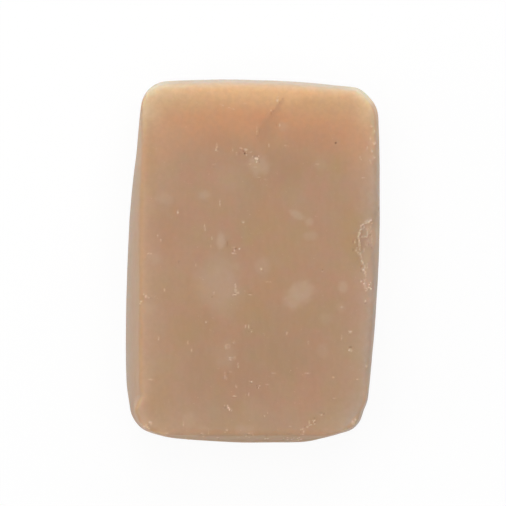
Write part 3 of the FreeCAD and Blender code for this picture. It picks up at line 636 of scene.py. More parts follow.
@dataclass(frozen=True)
class Stroke:
    """How one kind of mark is laid on the skin.

    A mark fades over `fade`, where 1 is its own edge. The edge wanders by `ragged`, a share of the
    mark's size, in features of `grain` millimetres, or of `grain_share` of the mark where that is
    0. A mark on a side stands `side_rise` millimetres high, or `rise_share` of half its height.
    """

    fade: Fade
    ragged: float
    seed: float
    grain: float = 0.0
    grain_share: float = 0.6
    least_grain: float = 0.25
    octaves: int = 2
    window: float = 2.2
    side_rise: float = 1.3
    rise_share: float = 2.5

    def lay(
        self, skin: Skin, form: Form, mark: Mark, number: int
    ) -> tuple[np.ndarray, np.ndarray]:
        """Find what a mark covers.

        Args:
            skin: The skin.
            form: Where the solid's faces lie.
            mark: The mark.
            number: The mark's place in its list, which sets its own unevenness.

        Returns:
            The numbers of the points near the mark, and how far each is covered, from 0 to 1.
        """
        middle = form.portrait.place(mark.x, mark.y)
        half_wide = mark.wide / 2 * form.portrait.pixel
        half_tall = mark.tall / 2 * form.portrait.pixel
        low = form.on_side(middle)
        above = form.top - (form.near_band if low else form.front_band)
        chosen = skin.near(middle, max(half_wide, half_tall) * self.window, above)
        if not len(chosen):
            return chosen, np.zeros(0)
        offset = skin.points[chosen][:, :2] - np.array(middle)
        turn = math.radians(mark.turn)
        across = offset[:, 0] * math.cos(turn) + offset[:, 1] * math.sin(turn)
        along = -offset[:, 0] * math.sin(turn) + offset[:, 1] * math.cos(turn)
        distance = np.hypot(across / half_wide, along / half_tall)
        if low:
            heights = skin.points[chosen, 2]
            middle_height = heights[np.argmin(np.hypot(offset[:, 0], offset[:, 1]))]
            rise = max(self.side_rise, self.rise_share * half_tall)
            distance = np.hypot(distance, (heights - middle_height) / rise)
        grain = self.grain or max(self.least_grain, self.grain_share * min(half_wide, half_tall))
        wander = Rough(grain, self.octaves, self.seed).at(skin.points[chosen], number)
        return chosen, self.fade.at(distance + self.ragged * wander)


class Wire:
    """One output of a node, which takes part in Python arithmetic."""

    def __init__(self, recipe: "Recipe", node: bpy.types.Node, output: Union[int, str]) -> None:
        """Choose an output of a recipe's node."""
        self.recipe = recipe
        self.node = node
        self.output = output

    @property
    def socket(self) -> bpy.types.NodeSocket:
        """The output's socket."""
        return self.node.outputs[self.output]

    def _math(self, operation: str, first: "Amount", second: "Amount") -> "Wire":
        """Add one Math node."""
        return self.recipe.add("ShaderNodeMath", {"operation": operation}, {0: first, 1: second})

    def __add__(self, other: "Amount") -> "Wire":
        """Add."""
        return self._math("ADD", self, other)

    def __radd__(self, other: "Amount") -> "Wire":
        """Add, from the right."""
        return self._math("ADD", other, self)

    def __sub__(self, other: "Amount") -> "Wire":
        """Subtract."""
        return self._math("SUBTRACT", self, other)

    def __rsub__(self, other: "Amount") -> "Wire":
        """Subtract, from the right."""
        return self._math("SUBTRACT", other, self)

    def __mul__(self, other: "Amount") -> "Wire":
        """Multiply."""
        return self._math("MULTIPLY", self, other)

    def __rmul__(self, other: "Amount") -> "Wire":
        """Multiply, from the right."""
        return self._math("MULTIPLY", other, self)

    def bounded(self) -> "Wire":
        """Keep the value between 0 and 1."""
        return self._math("MINIMUM", self._math("MAXIMUM", self, 0.0), 1.0)


Amount = Union[float, Wire]


def opaque(colour: Colour) -> tuple[float, float, float, float]:
    """Give a colour full alpha."""
    return (*colour, 1.0)


WHITE = opaque((1.0, 1.0, 1.0))


@dataclass(frozen=True)
class Grain:
    """A cloudy random value in a material.

    `size` is how large its features are in millimetres, and `stretch` how many times longer they
    are along the bar. `detail` is how many finer layers it has, and `shift` makes one value unlike
    another.
    """

    size: float
    detail: float
    shift: float = 0.0
    stretch: float = 1.0
    roughness: float = 0.55


class Recipe:
    """The node tree of a material or of the world."""

    def __init__(self, owner: Union[bpy.types.Material, bpy.types.World]) -> None:
        """Start the owner's nodes afresh."""
        owner.use_nodes = True
        self.tree = owner.node_tree
        self.tree.nodes.clear()

    def add(
        self,
        kind: str,
        settings: dict[str, object],
        sockets: dict[Union[int, str], object],
        output: Union[int, str] = 0,
    ) -> Wire:
        """Add a node.

        Args:
            kind: The node's type.
            settings: Its own settings, which are set before its sockets.
            sockets: Values or wires for its inputs, by name or number.
            output: The output to return, which a node that ends the tree doesn't have.

        Returns:
            The chosen output.
        """
        node = self.tree.nodes.new(kind)
        for name, value in settings.items():
            setattr(node, name, value)
        for name, value in sockets.items():
            if isinstance(value, Wire):
                self.tree.links.new(value.socket, node.inputs[name])
            else:
                node.inputs[name].default_value = value
        return Wire(self, node, output)

    def mix(self, factor: Amount, first: object, second: object) -> Wire:
        """Blend two colours, from the first at 0 to the second at 1."""
        settings = {"data_type": "RGBA", "blend_type": "MIX", "clamp_factor": True}
        return self.add("ShaderNodeMix", settings, {0: factor, 6: first, 7: second}, 2)

    def fade(self, value: Wire, fade: Fade) -> Wire:
        """Rise smoothly from 0 to 1, as a fade says."""
        settings = {"interpolation_type": "SMOOTHSTEP", "clamp": True}
        return self.add("ShaderNodeMapRange", settings, {0: value, 1: fade.low, 2: fade.high})

    def painted(self, layer: Field) -> Wire:
        """Read one painted layer."""
        settings = {"attribute_name": layer.value, "attribute_type": "GEOMETRY"}
        return self.add("ShaderNodeAttribute", settings, {}, "Fac")

    def grain(self, grain: Grain) -> Wire:
        """Lay a cloudy random value, between 0 and 1, over the piece."""
        place = self.add("ShaderNodeTexCoord", {}, {}, "Object")
        moved = self.add(
            "ShaderNodeVectorMath",
            {"operation": "MULTIPLY_ADD"},
            {0: place, 1: (1.0, 1.0 / grain.stretch, 1.0), 2: (grain.shift,) * 3},
        )
        sockets = {
            "Vector": moved,
            "Scale": 1.0 / (grain.size * MM),
            "Detail": grain.detail,
            "Roughness": grain.roughness,
        }
        return self.add("ShaderNodeTexNoise", {"noise_dimensions": "3D"}, sockets)


@dataclass(frozen=True)
class SoapFinish:
    """Old tallow-coloured soap: waxy, a little translucent, blotched and dusted with crumbs."""

    # Colours: the body, its blotches, the painted light of the rims and far end, then the marks
    body: Colour = (0.434, 0.268, 0.168)
    rosy: Colour = (0.448, 0.258, 0.166)
    greenish: Colour = (0.420, 0.272, 0.158)
    # Painted light along the rims
    pale_rim: Colour = (0.500, 0.362, 0.252)
    # Painted glow of the far end, from ember to honey
    ember: Colour = (0.570, 0.298, 0.158)
    # The sides painted warmer, and the warm line and patches
    amber: Colour = (0.520, 0.315, 0.168)
    honey: Colour = (0.675, 0.440, 0.238)
    # Painted light at the far corners, where two lit sides meet
    straw: Colour = (0.560, 0.510, 0.360)
    # Painted sheen on the far side
    far_sheen: Colour = (0.440, 0.365, 0.290)
    # Pale dusty bloom, partly painted sheen
    bloom_and_sheen: Colour = (0.433, 0.365, 0.306)
    cloud: Colour = (0.490, 0.346, 0.240)
    crumb: Colour = (0.760, 0.580, 0.445)
    # Painted shade for the pits, the near grooves and the crease's crack
    painted_shade: Colour = (0.165, 0.080, 0.040)
    # flush and shade are stains, and they also paint shade into the crease's hollow
    flush: Colour = (0.450, 0.238, 0.140)
    olive: Colour = (0.425, 0.272, 0.125)
    shade: Colour = (0.365, 0.238, 0.142)
    lilac: Colour = (0.425, 0.290, 0.205)

    # The surface, and how far light soaks in, in metres
    roughness: float = 0.55
    roughness_spread: float = 0.16
    crumb_roughness: float = 0.2
    specular: float = 0.12
    scatter_weight: float = 0.85
    scatter_scale: float = 0.0055
    scatter_radius: Colour = (1.0, 0.45, 0.22)

    # The blotches, and the painted glow of the far end
    rosy_grain: Grain = Grain(7.0, 3.0)
    rosy_fade: Fade = Fade(0.36, 0.64)
    green_grain: Grain = Grain(7.0, 3.0, shift=0.77)
    green_fade: Fade = Fade(0.42, 0.70)
    wander_grain: Grain = Grain(7.0, 2.0, shift=0.21)
    wander: float = 0.2
    wander_left: float = 0.4
    ember_fade: Fade = Fade(0.02, 0.62)
    honey_fade: Fade = Fade(0.55, 0.90)
    far_sheen_fade: Fade = Fade(0.86, 0.99)
    straw_fade: Fade = Fade(0.4, 0.9)

    # Fine patches and streaks over the whole bar
    patch_grain: Grain = Grain(1.2, 2.0, shift=0.67)
    patch_share: float = 0.14
    streak_grain: Grain = Grain(1.1, 2.0, shift=0.43, stretch=4.0)
    streak_share: float = 0.08
    patch_fade: Fade = Fade(0.35, 0.65)

    # How the clouds, the dust and the crumbs are mottled
    mottle_grain: Grain = Grain(2.4, 3.0, shift=0.13)
    cloud_mottle: float = 0.7
    cloud_least: float = 0.6
    speck_grain: Grain = Grain(0.45, 2.0, shift=0.5)
    dust_specks: Fade = Fade(0.64, 0.80)
    dust_patches: Fade = Fade(0.40, 0.70)
    dust_share: float = 0.35
    crumb_speckle: float = 1.2
    crumb_least: float = 0.4

    # The relief of the surface
    fine_grain: Grain = Grain(1.6, 3.0, shift=0.31)
    pore_grain: Grain = Grain(0.45, 2.0, shift=0.9)
    pore_share: float = 0.3
    bump_strength: float = 0.35
    bump_depth: float = 0.00012

    def make(self) -> bpy.types.Material:
        """Build the material.

        Returns:
            The finished material.
        """
        material = bpy.data.materials.new("soap_worn")
        recipe = Recipe(material)
        fine = recipe.grain(self.fine_grain)
        roughness = self.roughness + (fine - 0.5) * self.roughness_spread
        roughness = roughness + recipe.painted(Field.CRUMB) * self.crumb_roughness
        surface = recipe.add(
            "ShaderNodeBsdfPrincipled",
            {"subsurface_method": "RANDOM_WALK"},
            {
                "Base Color": self._colour(recipe),
                "Roughness": roughness.bounded(),
                "Normal": self._relief(recipe, fine),
                "Specular IOR Level": self.specular,
                "Subsurface Weight": self.scatter_weight,
                "Subsurface Radius": self.scatter_radius,
                "Subsurface Scale": self.scatter_scale,
                "Subsurface Anisotropy": 0.0,
            },
        )
        recipe.add("ShaderNodeOutputMaterial", {}, {"Surface": surface})
        return material

    def _colour(self, recipe: Recipe) -> Wire:
        """Lay the body, the glow, the stains and the dust over each other."""
        colour = self._glow(recipe, self._body(recipe))
        for layer, tint in (
            (Field.SHADE, self.shade),
            (Field.OLIVE, self.olive),
            (Field.FLUSH, self.flush),
            (Field.LILAC, self.lilac),
            (Field.WARM, self.amber),
            (Field.BLOOM_AND_SHEEN, self.bloom_and_sheen),
        ):
            colour = recipe.mix(recipe.painted(layer).bounded(), colour, opaque(tint))
        return self._dust(recipe, colour)

    def _body(self, recipe: Recipe) -> Wire:
        """Blotch the body with a rosy and a greenish tint."""
        rosy = recipe.fade(recipe.grain(self.rosy_grain), self.rosy_fade)
        greener = recipe.fade(recipe.grain(self.green_grain), self.green_fade)
        colour = recipe.mix(rosy, opaque(self.body), opaque(self.rosy))
        return recipe.mix(greener, colour, opaque(self.greenish))

    def _glow(self, recipe: Recipe, colour: Wire) -> Wire:
        """Paint the far end's glow, from ember to honey, its side's sheen and the rims' light."""
        far = recipe.painted(Field.FAR)
        wander = (recipe.grain(self.wander_grain) - 0.5) * self.wander
        ember = recipe.fade(far + wander, self.ember_fade)
        honey = recipe.fade(far + wander * self.wander_left, self.honey_fade)
        colour = recipe.mix(ember, colour, opaque(self.ember))
        colour = recipe.mix(honey, colour, opaque(self.honey))
        colour = recipe.mix(recipe.fade(far, self.far_sheen_fade), colour, opaque(self.far_sheen))
        straw = recipe.fade(far, self.straw_fade)
        rim_tint = recipe.mix(straw, opaque(self.pale_rim), opaque(self.straw))
        return recipe.mix(recipe.painted(Field.RIM), colour, rim_tint)

    def _dust(self, recipe: Recipe, colour: Wire) -> Wire:
        """Lay fine patches and streaks, then clouds, dust, crumbs and the painted shade of hollows.
        """
        patches = recipe.fade(recipe.grain(self.patch_grain), self.patch_fade) * self.patch_share
        streaks = recipe.fade(recipe.grain(self.streak_grain), self.patch_fade) * self.streak_share
        colour = recipe.mix(patches, colour, opaque(self.shade))
        colour = recipe.mix(streaks, colour, opaque(self.cloud))
        mottle = recipe.grain(self.mottle_grain)
        cloud = recipe.painted(Field.CLOUD) * (mottle * self.cloud_mottle + self.cloud_least)
        colour = recipe.mix(cloud.bounded(), colour, opaque(self.cloud))
        speck = recipe.grain(self.speck_grain)
        dust = recipe.fade(speck, self.dust_specks) * recipe.fade(mottle, self.dust_patches)
        colour = recipe.mix(dust * self.dust_share, colour, opaque(self.crumb))
        crumb = recipe.painted(Field.CRUMB) * (speck * self.crumb_speckle + self.crumb_least)
        colour = recipe.mix(crumb.bounded(), colour, opaque(self.crumb))
        # Painted shade goes on last, in the pits, grooves and crack
        return recipe.mix(recipe.painted(Field.DARK).bounded(), colour, opaque(self.painted_shade))

    def _relief(self, recipe: Recipe, fine: Wire) -> Wire:
        """Fine pores and soft unevenness, as a bump."""
        pores = recipe.grain(self.pore_grain)
        height = fine * (1.0 - self.pore_share) + pores * self.pore_share
        sockets = {"Strength": self.bump_strength, "Distance": self.bump_depth, "Height": height}
        return recipe.add("ShaderNodeBump", {}, sockets)


@dataclass(frozen=True)
class Shell:
    """Makes the bar's fine skin, which follows the solid.

    The front face and its rim get cells half as large as the sides have, and the cells under each
    fine mark are halved once more.
    """

    form: Form
    # The cells, and the gap below which two of the solid's points are one
    voxel: float = 0.70
    merge_gap: float = 0.001
    # How strongly and how often each region is relaxed
    smooth_factor: float = 0.5
    side_turns: int = 10
    worn_turns: int = 40
    near_turns: int = 6
    chip_turns: int = 110
    # What counts as the front's rim, and how far its relaxing spreads
    rim_rings: int = 4
    rim_depth: float = 7.0
    level_facing: float = 0.997
    level_gap: float = 0.02
    # Where the solid's finest cuts are bridged
    bridged_pits: int = 3
    bridge_step: float = 2.0
    bridge_reach: float = 1.4
    bridge_depth: float = 1.0
    # How far round a mark or a line the cells are fine, in pixels
    mark_margin: float = 1.0
    line_step: float = 3.0

    def make(self) -> bpy.types.Mesh:
        """Make the skin from the solid's mesh.

        Returns:
            The fine mesh, still without marks.
        """
        solid = bmesh.new()
        solid.from_mesh(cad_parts[NODE].data)
        bmesh.ops.remove_doubles(solid, verts=solid.verts[:], dist=self.merge_gap * MM)
        mesh = self._remesh(solid)
        self._refine(mesh, BVHTree.FromBMesh(solid))
        solid.free()
        return mesh

    def _remesh(self, solid: bmesh.types.BMesh) -> bpy.types.Mesh:
        """Give the solid an even skin of small square cells."""
        rough = bpy.data.meshes.new("rough")
        solid.to_mesh(rough)
        holder = bpy.data.objects.new("rough", rough)
        bpy.context.scene.collection.objects.link(holder)
        modifier = holder.modifiers.new("even", "REMESH")
        modifier.mode = "VOXEL"
        modifier.voxel_size = self.voxel * MM
        shown = holder.evaluated_get(bpy.context.evaluated_depsgraph_get())
        mesh = bpy.data.meshes.new_from_object(shown)
        mesh.name = PIECE
        bpy.data.objects.remove(holder)
        bpy.data.meshes.remove(rough)
        return mesh

    def _refine(self, mesh: bpy.types.Mesh, tree: BVHTree) -> None:
        """Halve the front's cells, halve them again under fine marks, and settle the form."""
        skin = bmesh.new()
        skin.from_mesh(mesh)
        self._settle(skin, tree)
        self._halve(skin, [edge for edge in skin.edges if self._fine(edge)])
        self._settle(skin, tree)
        self._halve(skin, self._edges_under_marks(skin))
        low, high = self.form.front_band * MM, (self.form.top - self.form.front_band) * MM
        self._smooth(skin, [vert for vert in skin.verts if low < vert.co.z < high], self.side_turns)
        self._soften(skin)
        bmesh.ops.recalc_face_normals(skin, faces=skin.faces[:])
        skin.to_mesh(mesh)
        skin.free()

    def _halve(self, skin: bmesh.types.BMesh, edges: list[bmesh.types.BMEdge]) -> None:
        """Cut cells in half both ways."""
        bmesh.ops.subdivide_edges(skin, edges=edges, cuts=1, use_grid_fill=True)

    def _smooth(
        self, skin: bmesh.types.BMesh, verts: list[bmesh.types.BMVert], turns: int
    ) -> None:
        """Relax points towards their neighbours, a number of times."""
        axes = {"use_axis_x": True, "use_axis_y": True, "use_axis_z": True}
        for _ in range(turns):
            bmesh.ops.smooth_vert(skin, verts=verts, factor=self.smooth_factor, **axes)

    def _fine(self, edge: bmesh.types.BMEdge) -> bool:
        """Whether an edge is on the front, or on the upper part of the near side."""
        for vert in edge.verts:
            near = vert.co.y < self.form.near_side * MM
            band = self.form.near_band if near else self.form.front_band
            if vert.co.z <= (self.form.top - band) * MM:
                return False
        return True

    def _settle(self, skin: bmesh.types.BMesh, tree: BVHTree) -> None:
        """Lay every point on the solid, but bridge its finest cuts, which are worn in later."""
        bridged = self.form.line((mark.x, mark.y) for mark in PITS[: self.bridged_pits])
        bridged += self.form.line(stepped(CREASE, self.bridge_step))
        reach = self.bridge_reach
        for vert in skin.verts:
            across, along = vert.co.x / MM, vert.co.y / MM
            if vert.co.z / MM > self.form.top - self.bridge_depth and any(
                abs(across - x) < reach and abs(along - y) < reach for x, y in bridged
            ):
                vert.co.z = self.form.top * MM
                continue
            vert.co = tree.find_nearest(vert.co)[0]

    def _windows(self) -> list[Spot]:
        """The middle and half size, in millimetres, of each square that holds a fine mark."""
        portrait = self.form.portrait
        windows = []
        for mark in CRUMBS + PITS:
            half = (max(mark.wide, mark.tall) / 2 + self.mark_margin) * portrait.pixel
            windows.append((*portrait.place(mark.x, mark.y), half))
        for line in (CREASE, *CHIP_LINES, *NEAR_LINES):
            for place in self.form.line(stepped(line, self.line_step)):
                windows.append((*place, self.line_step * portrait.pixel))
        return windows

    def _edges_under_marks(self, skin: bmesh.types.BMesh) -> list[bmesh.types.BMEdge]:
        """The edges near crumbs, pits, the crease, the chip's edge and the near grooves."""
        squares: dict[tuple[int, int], list[Spot]] = {}
        for x, y, half in self._windows():
            for column in range(math.floor(x - half), math.floor(x + half) + 1):
                for row in range(math.floor(y - half), math.floor(y + half) + 1):
                    squares.setdefault((column, row), []).append((x, y, half))
        chosen = []
        for edge in filter(self._fine, skin.edges):
            middle = (edge.verts[0].co + edge.verts[1].co) / 2
            across, along = middle.x / MM, middle.y / MM
            windows = squares.get((math.floor(across), math.floor(along)), ())
            if any(abs(across - x) < half and abs(along - y) < half for x, y, half in windows):
                chosen.append(edge)
        return chosen

    def _soften(self, skin: bmesh.types.BMesh) -> None:
        """Wear the rims rounder, the near one least, and soften the chip's wall."""
        chip_x, chip_y = self.form.portrait.place(*self.form.chip_middle)
        reach_x, reach_y = self.form.chip_reach
        floor = self.form.top - self.rim_depth
        worn = []
        near = []
        chipped = []
        for vert in skin.verts:
            across, along, up = (value / MM for value in vert.co)
            if up < floor:
                continue
            level = abs(vert.normal.z) >= self.level_facing and up >= self.form.top - self.level_gap
            if not level and along < self.form.near_side:
                near.append(vert)
            elif not level:
                worn.append(vert)
            if abs(across - chip_x) < reach_x and abs(along - chip_y) < reach_y:
                chipped.append(vert)
        ring = set(worn)
        for _ in range(self.rim_rings + 1):
            ring |= {other for vert in ring for edge in vert.link_edges for other in edge.verts}
        worn = [
            vert
            for vert in ring
            if vert.co.y / MM > self.form.near_side and vert.co.z / MM > floor
        ]
        self._smooth(skin, worn, self.worn_turns)
        self._smooth(skin, near, self.near_turns)
        self._smooth(skin, chipped, self.chip_turns)


@dataclass(frozen=True)
class Step:
    """One step of working the skin over."""

    form: Form

    def work(self, skin: Skin) -> None:
        """Change the skin's places and painted layers."""
        raise NotImplementedError


@dataclass(frozen=True)
class Wear(Step):
    """Wears the form: its corners, the level of its faces, its rims and the near grooves."""

    # Corners
    upper: Fade = Fade(0.45, 0.8)
    corner_fade: Fade = Fade(2.0, 9.0)
    fill_limit: float = 4.0
    broad_share: float = 0.5
    least_radius: float = 0.1
    # Faces
    swell: Rough = Rough(14.0, 3, 4.0)
    waviness: float = 0.10
    foot: Fade = Fade(0.2, 3.0)
    # Rims
    bites: Rough = Rough(2.6, 3, 9.0)
    rim_from: Fade = Fade(0.1, 0.45)
    rim_to: Fade = Fade(0.99, 0.8)
    rim_wear: float = 0.16
    # Grooves along the near rim, with painted shade in them
    groove_break: Rough = Rough(2.2, 2, 21.0)
    groove_gaps: Fade = Fade(-0.5, 0.2)
    groove_start: Fade = Fade(0.0, 0.05)
    groove_end: Fade = Fade(1.0, 0.95)
    groove_width: float = 0.14
    groove_depth: float = 0.08
    groove_shade: float = 0.12

    def work(self, skin: Skin) -> None:
        """Wear the corners, the faces, the rims and the grooves."""
        self._corners(skin)
        self._wave(skin)
        self._rims(skin)
        self._grooves(skin)

    def _corners(self, skin: Skin) -> None:
        """Bring the front face out over the near corners, then wear the outline's corners back."""
        outline = Outline.of_solid()
        depth = np.min([outline.depth(skin, side) for side in Side], axis=0)
        high = self.upper.at(skin.points[:, 2] / self.form.top)
        for corner in CORNERS:
            offset = skin.points[:, :2] - np.array(self.form.portrait.place(corner.x, corner.y))
            radius = np.linalg.norm(offset, axis=1)
            outward = offset / np.maximum(radius, self.least_radius)[:, None]
            turn = np.degrees(np.arctan2(outward[:, 1], outward[:, 0])) - corner.toward
            turn = np.abs((turn + 180.0) % 360.0 - 180.0)
            broad = Fade(corner.spread, self.broad_share * corner.spread).at(turn) * high
            fill = corner.fill * np.clip(depth, 0.0, corner.reach)
            fill = fill * Fade(self.fill_limit * corner.reach, corner.reach).at(depth) * broad
            trim = corner.trim * Fade(corner.spread, 0.0).at(turn) * self.corner_fade.at(radius)
            skin.points[:, :2] += outward * (fill - trim)[:, None]

    def _wave(self, skin: Skin) -> None:
        """Make the moulded faces a little uneven, but keep the resting face flat."""
        swell = self.swell.at(skin.points) * self.waviness * self.foot.at(skin.points[:, 2])
        skin.points += skin.normals * swell[:, None]

    def _rims(self, skin: Skin) -> None:
        """Nibble at the rims, where the skin turns from a face to a side."""
        upright = np.abs(skin.normals[:, 2])
        rim = self.rim_from.at(upright) * self.rim_to.at(upright)
        bites = np.maximum(0.0, self.bites.at(skin.points))
        chosen = np.nonzero(rim > 0.0)[0]
        skin.push(chosen, -(rim * bites * self.rim_wear)[chosen])

    def _grooves(self, skin: Skin) -> None:
        """Cut the fine broken grooves along the near rim, and paint shade into them."""
        near = skin.points[:, 1] < self.form.near_side
        high = skin.points[:, 2] > self.form.top - self.form.near_band
        chosen = np.nonzero(near & high)[0]
        for number, line in enumerate(NEAR_LINES):
            gap, along = line_distance(skin.points[chosen][:, :2], self.form.line(line))
            groove = bell(gap, self.groove_width) * self.groove_start.at(along)
            groove = groove * self.groove_end.at(along)
            groove = groove * self.groove_gaps.at(self.groove_break.at(skin.points[chosen], number))
            skin.push(chosen, -self.groove_depth * groove)
            skin.lay(Field.DARK, chosen, self.groove_shade * groove)


@dataclass
class Lie:
    """How each point of the skin lies: its facing, its height and how near the far end it is.

    `up` rises from 0 on the sides to 1 on the front, `height` from 0 at the foot to 1 at the front,
    and `far` from 0 to about 1 at the far end.
    """

    across: np.ndarray
    along: np.ndarray
    upward: np.ndarray
    up: np.ndarray
    height: np.ndarray
    far: np.ndarray


@dataclass(frozen=True)
class Tones(Step):
    """Paints rim light, the sides' bloom, sheen and warmth, the far end's glow and broad stains."""

    # The turn from side to front, and the painted glow of the far end
    up_fade: Fade = Fade(0.2, 0.9)
    front_gap: float = 0.05
    far_reach: float = 20.0
    far_most: float = 1.1
    far_loss: float = 0.55
    sideways: Fade = Fade(0.7, 0.3)

    # The pale rims, and the straw edge of the far corners, both painted light
    rim_reach: float = 5.2
    rim_strengths: tuple[tuple[Side, float], ...] = (
        (Side.LEFT, 0.58),
        (Side.RIGHT, 0.36),
        (Side.NEAR, 0.28),
    )
    rim_gain: float = 0.3
    rim_far: Fade = Fade(0.6, 0.9)
    edge_reach: float = 1.4
    edge_strength: float = 0.65
    edge_far: Fade = Fade(0.25, 0.6)

    # Pale bloom and painted sheen: bare on the left side, shown on the right rim, and at the foot
    bare_reach: float = 1.0
    bare_strength: float = 0.78
    bare_foot: Fade = Fade(0.05, 0.25)
    bare_along: Fade = Fade(0.8, 0.4)
    bare_across: Fade = Fade(-0.15, -0.45)
    bare_far: Fade = Fade(0.3, 0.7)
    bare_loss: float = 0.5
    bloom_sheen_reach: float = 1.6
    bloom_sheen_strength: float = 0.6
    bloom_sheen_far: Fade = Fade(0.7, 0.35)
    foot: Fade = Fade(0.32, 0.0)
    foot_near: Fade = Fade(-0.3, -0.8)
    foot_loss: float = 0.6

    # Sides painted lighter and warmer as painted light, and the broken line along the left rim
    warm_strength: float = 0.6
    warm_along: Fade = Fade(0.3, -0.3)
    warm_left: Fade = Fade(0.0, -0.5)
    warm_height: Fade = Fade(0.35, 0.9)
    warm_loss: float = 0.6
    line_strength: float = 0.55
    line_olive: float = 0.6
    line_from: Fade = Fade(0.25, 0.5)
    line_to: Fade = Fade(0.97, 0.8)
    line_left: Fade = Fade(-0.1, -0.4)
    line_start: Fade = Fade(-37.0, -30.0)
    line_far: Fade = Fade(0.7, 0.1)
    line_break: Rough = Rough(2.4, 2, 71.0)
    line_squeeze: float = 0.35

    # The broad stains, and painted shade and glow laid in the same way
    stain: Stroke = Stroke(Fade(1.6, 0.2), ragged=0.35, seed=60.0, grain=2.6)

    def work(self, skin: Skin) -> None:
        """Paint the tones of the edges and sides, then the stains."""
        widest = Outline.of_solid()
        front = Outline.of_solid((self.form.top - self.front_gap) * MM)
        across, along, upward = skin.normals.T
        far = 1.0 - widest.depth(skin, Side.FAR) / self.far_reach
        lie = Lie(
            across=across,
            along=along,
            upward=upward,
            up=self.up_fade.at(upward),
            height=skin.points[:, 2] / self.form.top,
            far=np.clip(far, 0.0, self.far_most),
        )
        self._rims(skin, lie, front)
        self._bloom_and_sheen(skin, lie, front, widest)
        self._warm(skin, lie)
        sideways = (1.0 - lie.up) * self.sideways.at(np.abs(along))
        # Painted light: the glow of the far end, weaker on the sides
        skin.paint[Field.FAR] = lie.far * (1.0 - self.far_loss * sideways)
        for layer, marks in STAINS.items():
            for number, mark in enumerate(marks):
                chosen, amount = self.stain.lay(skin, self.form, mark, number)
                skin.lay(layer, chosen, amount * mark.strength)

    def _rims(self, skin: Skin, lie: Lie, front: Outline) -> None:
        """Paint pale light on the front towards its rims, and straw light on the far corners."""
        rim = np.zeros(len(skin.points))
        for side, strength in self.rim_strengths:
            rim += strength * sink(front.depth(skin, side), self.rim_reach)
        rim = rim * (1.0 + self.rim_gain * self.rim_far.at(lie.far)) * lie.up
        depth = np.minimum(front.depth(skin, Side.LEFT), front.depth(skin, Side.RIGHT))
        edge = self.edge_strength * sink(depth, self.edge_reach) * self.edge_far.at(lie.far)
        skin.paint[Field.RIM] = np.minimum(1.0, np.maximum(rim, edge))

    def _bloom_and_sheen(self, skin: Skin, lie: Lie, front: Outline, widest: Outline) -> None:
        """Lay pale dust and painted sheen: up the left side, along the right rim and round the
        foot.
        """
        side = 1.0 - lie.up
        depth = np.minimum(widest.depth(skin, Side.LEFT), widest.depth(skin, Side.NEAR_LEFT))
        bare = self.bare_strength * sink(depth, self.bare_reach) * side
        bare = bare * self.bare_foot.at(lie.height) * self.bare_along.at(lie.along)
        bare = bare * (1.0 - self.bare_loss * self.bare_far.at(lie.far))
        bare = bare * self.bare_across.at(lie.across)
        right = front.depth(skin, Side.RIGHT)
        shown = self.bloom_sheen_strength * sink(right, self.bloom_sheen_reach) * self.bloom_sheen_far.at(lie.far)
        foot = self.bloom_sheen_strength * side * self.foot.at(lie.height)
        foot = foot * (1.0 - self.foot_loss * self.foot_near.at(lie.along))
        skin.paint[Field.BLOOM_AND_SHEEN] = np.maximum.reduce((bare, shown, foot))

    def _warm(self, skin: Skin, lie: Lie) -> None:
        """Paint light and warmth on the sides, and draw a broken warm line along the left rim."""
        sides = (1.0 - lie.up) * self.warm_along.at(lie.along)
        warm = self.warm_strength * (sides + sides * self.warm_left.at(lie.across)) / 2.0
        warm = warm * self.warm_height.at(lie.height)
        warm = warm * (1.0 - self.warm_loss * np.minimum(lie.far, 1.0))
        line = self.line_from.at(lie.upward) * self.line_to.at(lie.upward)
        line = line * self.line_left.at(lie.across) * self.line_start.at(skin.points[:, 1])
        line = line * self.line_far.at(lie.far)
        squeezed = skin.points * np.array((1.0, self.line_squeeze, 1.0))
        broken = (1.0 + self.line_break.at(squeezed)) / 2.0
        skin.paint[Field.WARM] = np.maximum(warm, self.line_strength * line * broken)
        skin.paint[Field.OLIVE] = self.line_olive * line * np.clip(1.0 - broken, 0.0, 1.0)


@dataclass(frozen=True)
class Clouds(Step):
    """Paints the pale patches, which are very shallow dents."""

    stroke: Stroke = Stroke(Fade(1.45, 0.5), ragged=0.22, seed=3.0)
    depth: float = 0.04

    def work(self, skin: Skin) -> None:
        """Paint and dent each patch."""
        for number, mark in enumerate(CLOUDS):
            chosen, amount = self.stroke.lay(skin, self.form, mark, number)
            amount = amount * mark.strength
            skin.lay(Field.CLOUD, chosen, amount)
            skin.push(chosen, -self.depth * amount)


@dataclass(frozen=True)
class Chip(Step):
    """Breaks the chip's edge into thin pale flakes and roughens its floor."""

    reach: float = 11.0
    fine: Rough = Rough(0.5, 2, 31.0)
    coarse: Rough = Rough(1.6, 2, 37.0)
    flake_width: float = 0.23
    flake_wander: float = 0.1
    flake_gaps: Fade = Fade(-0.25, 0.45)
    flake_strength: float = 0.42
    flake_height: float = 0.14
    floor_fade: Fade = Fade(1.1, 0.7)
    floor_roughness: float = 0.08

    def work(self, skin: Skin) -> None:
        """Lay the flakes along the broken edges, then roughen the floor between them."""
        middle = self.form.portrait.place(*self.form.chip_middle)
        chosen = skin.near(middle, self.reach, self.form.top - self.form.front_band)
        flat = skin.points[chosen][:, :2]
        gaps = self.flake_gaps.at(self.fine.at(skin.points[chosen]))
        coarse = self.coarse.at(skin.points[chosen])
        for line in CHIP_LINES:
            gap = np.abs(line_distance(flat, self.form.line(line))[0])
            flakes = bell(gap + self.flake_wander * coarse, self.flake_width) * gaps
            skin.lay(Field.CRUMB, chosen, self.flake_strength * flakes)
            skin.push(chosen, self.flake_height * flakes)
        offset = (flat - np.array(middle)) / np.array(self.form.chip_reach)
        inside = self.floor_fade.at(np.hypot(offset[:, 0], offset[:, 1]))
        skin.push(chosen, self.floor_roughness * inside * coarse)


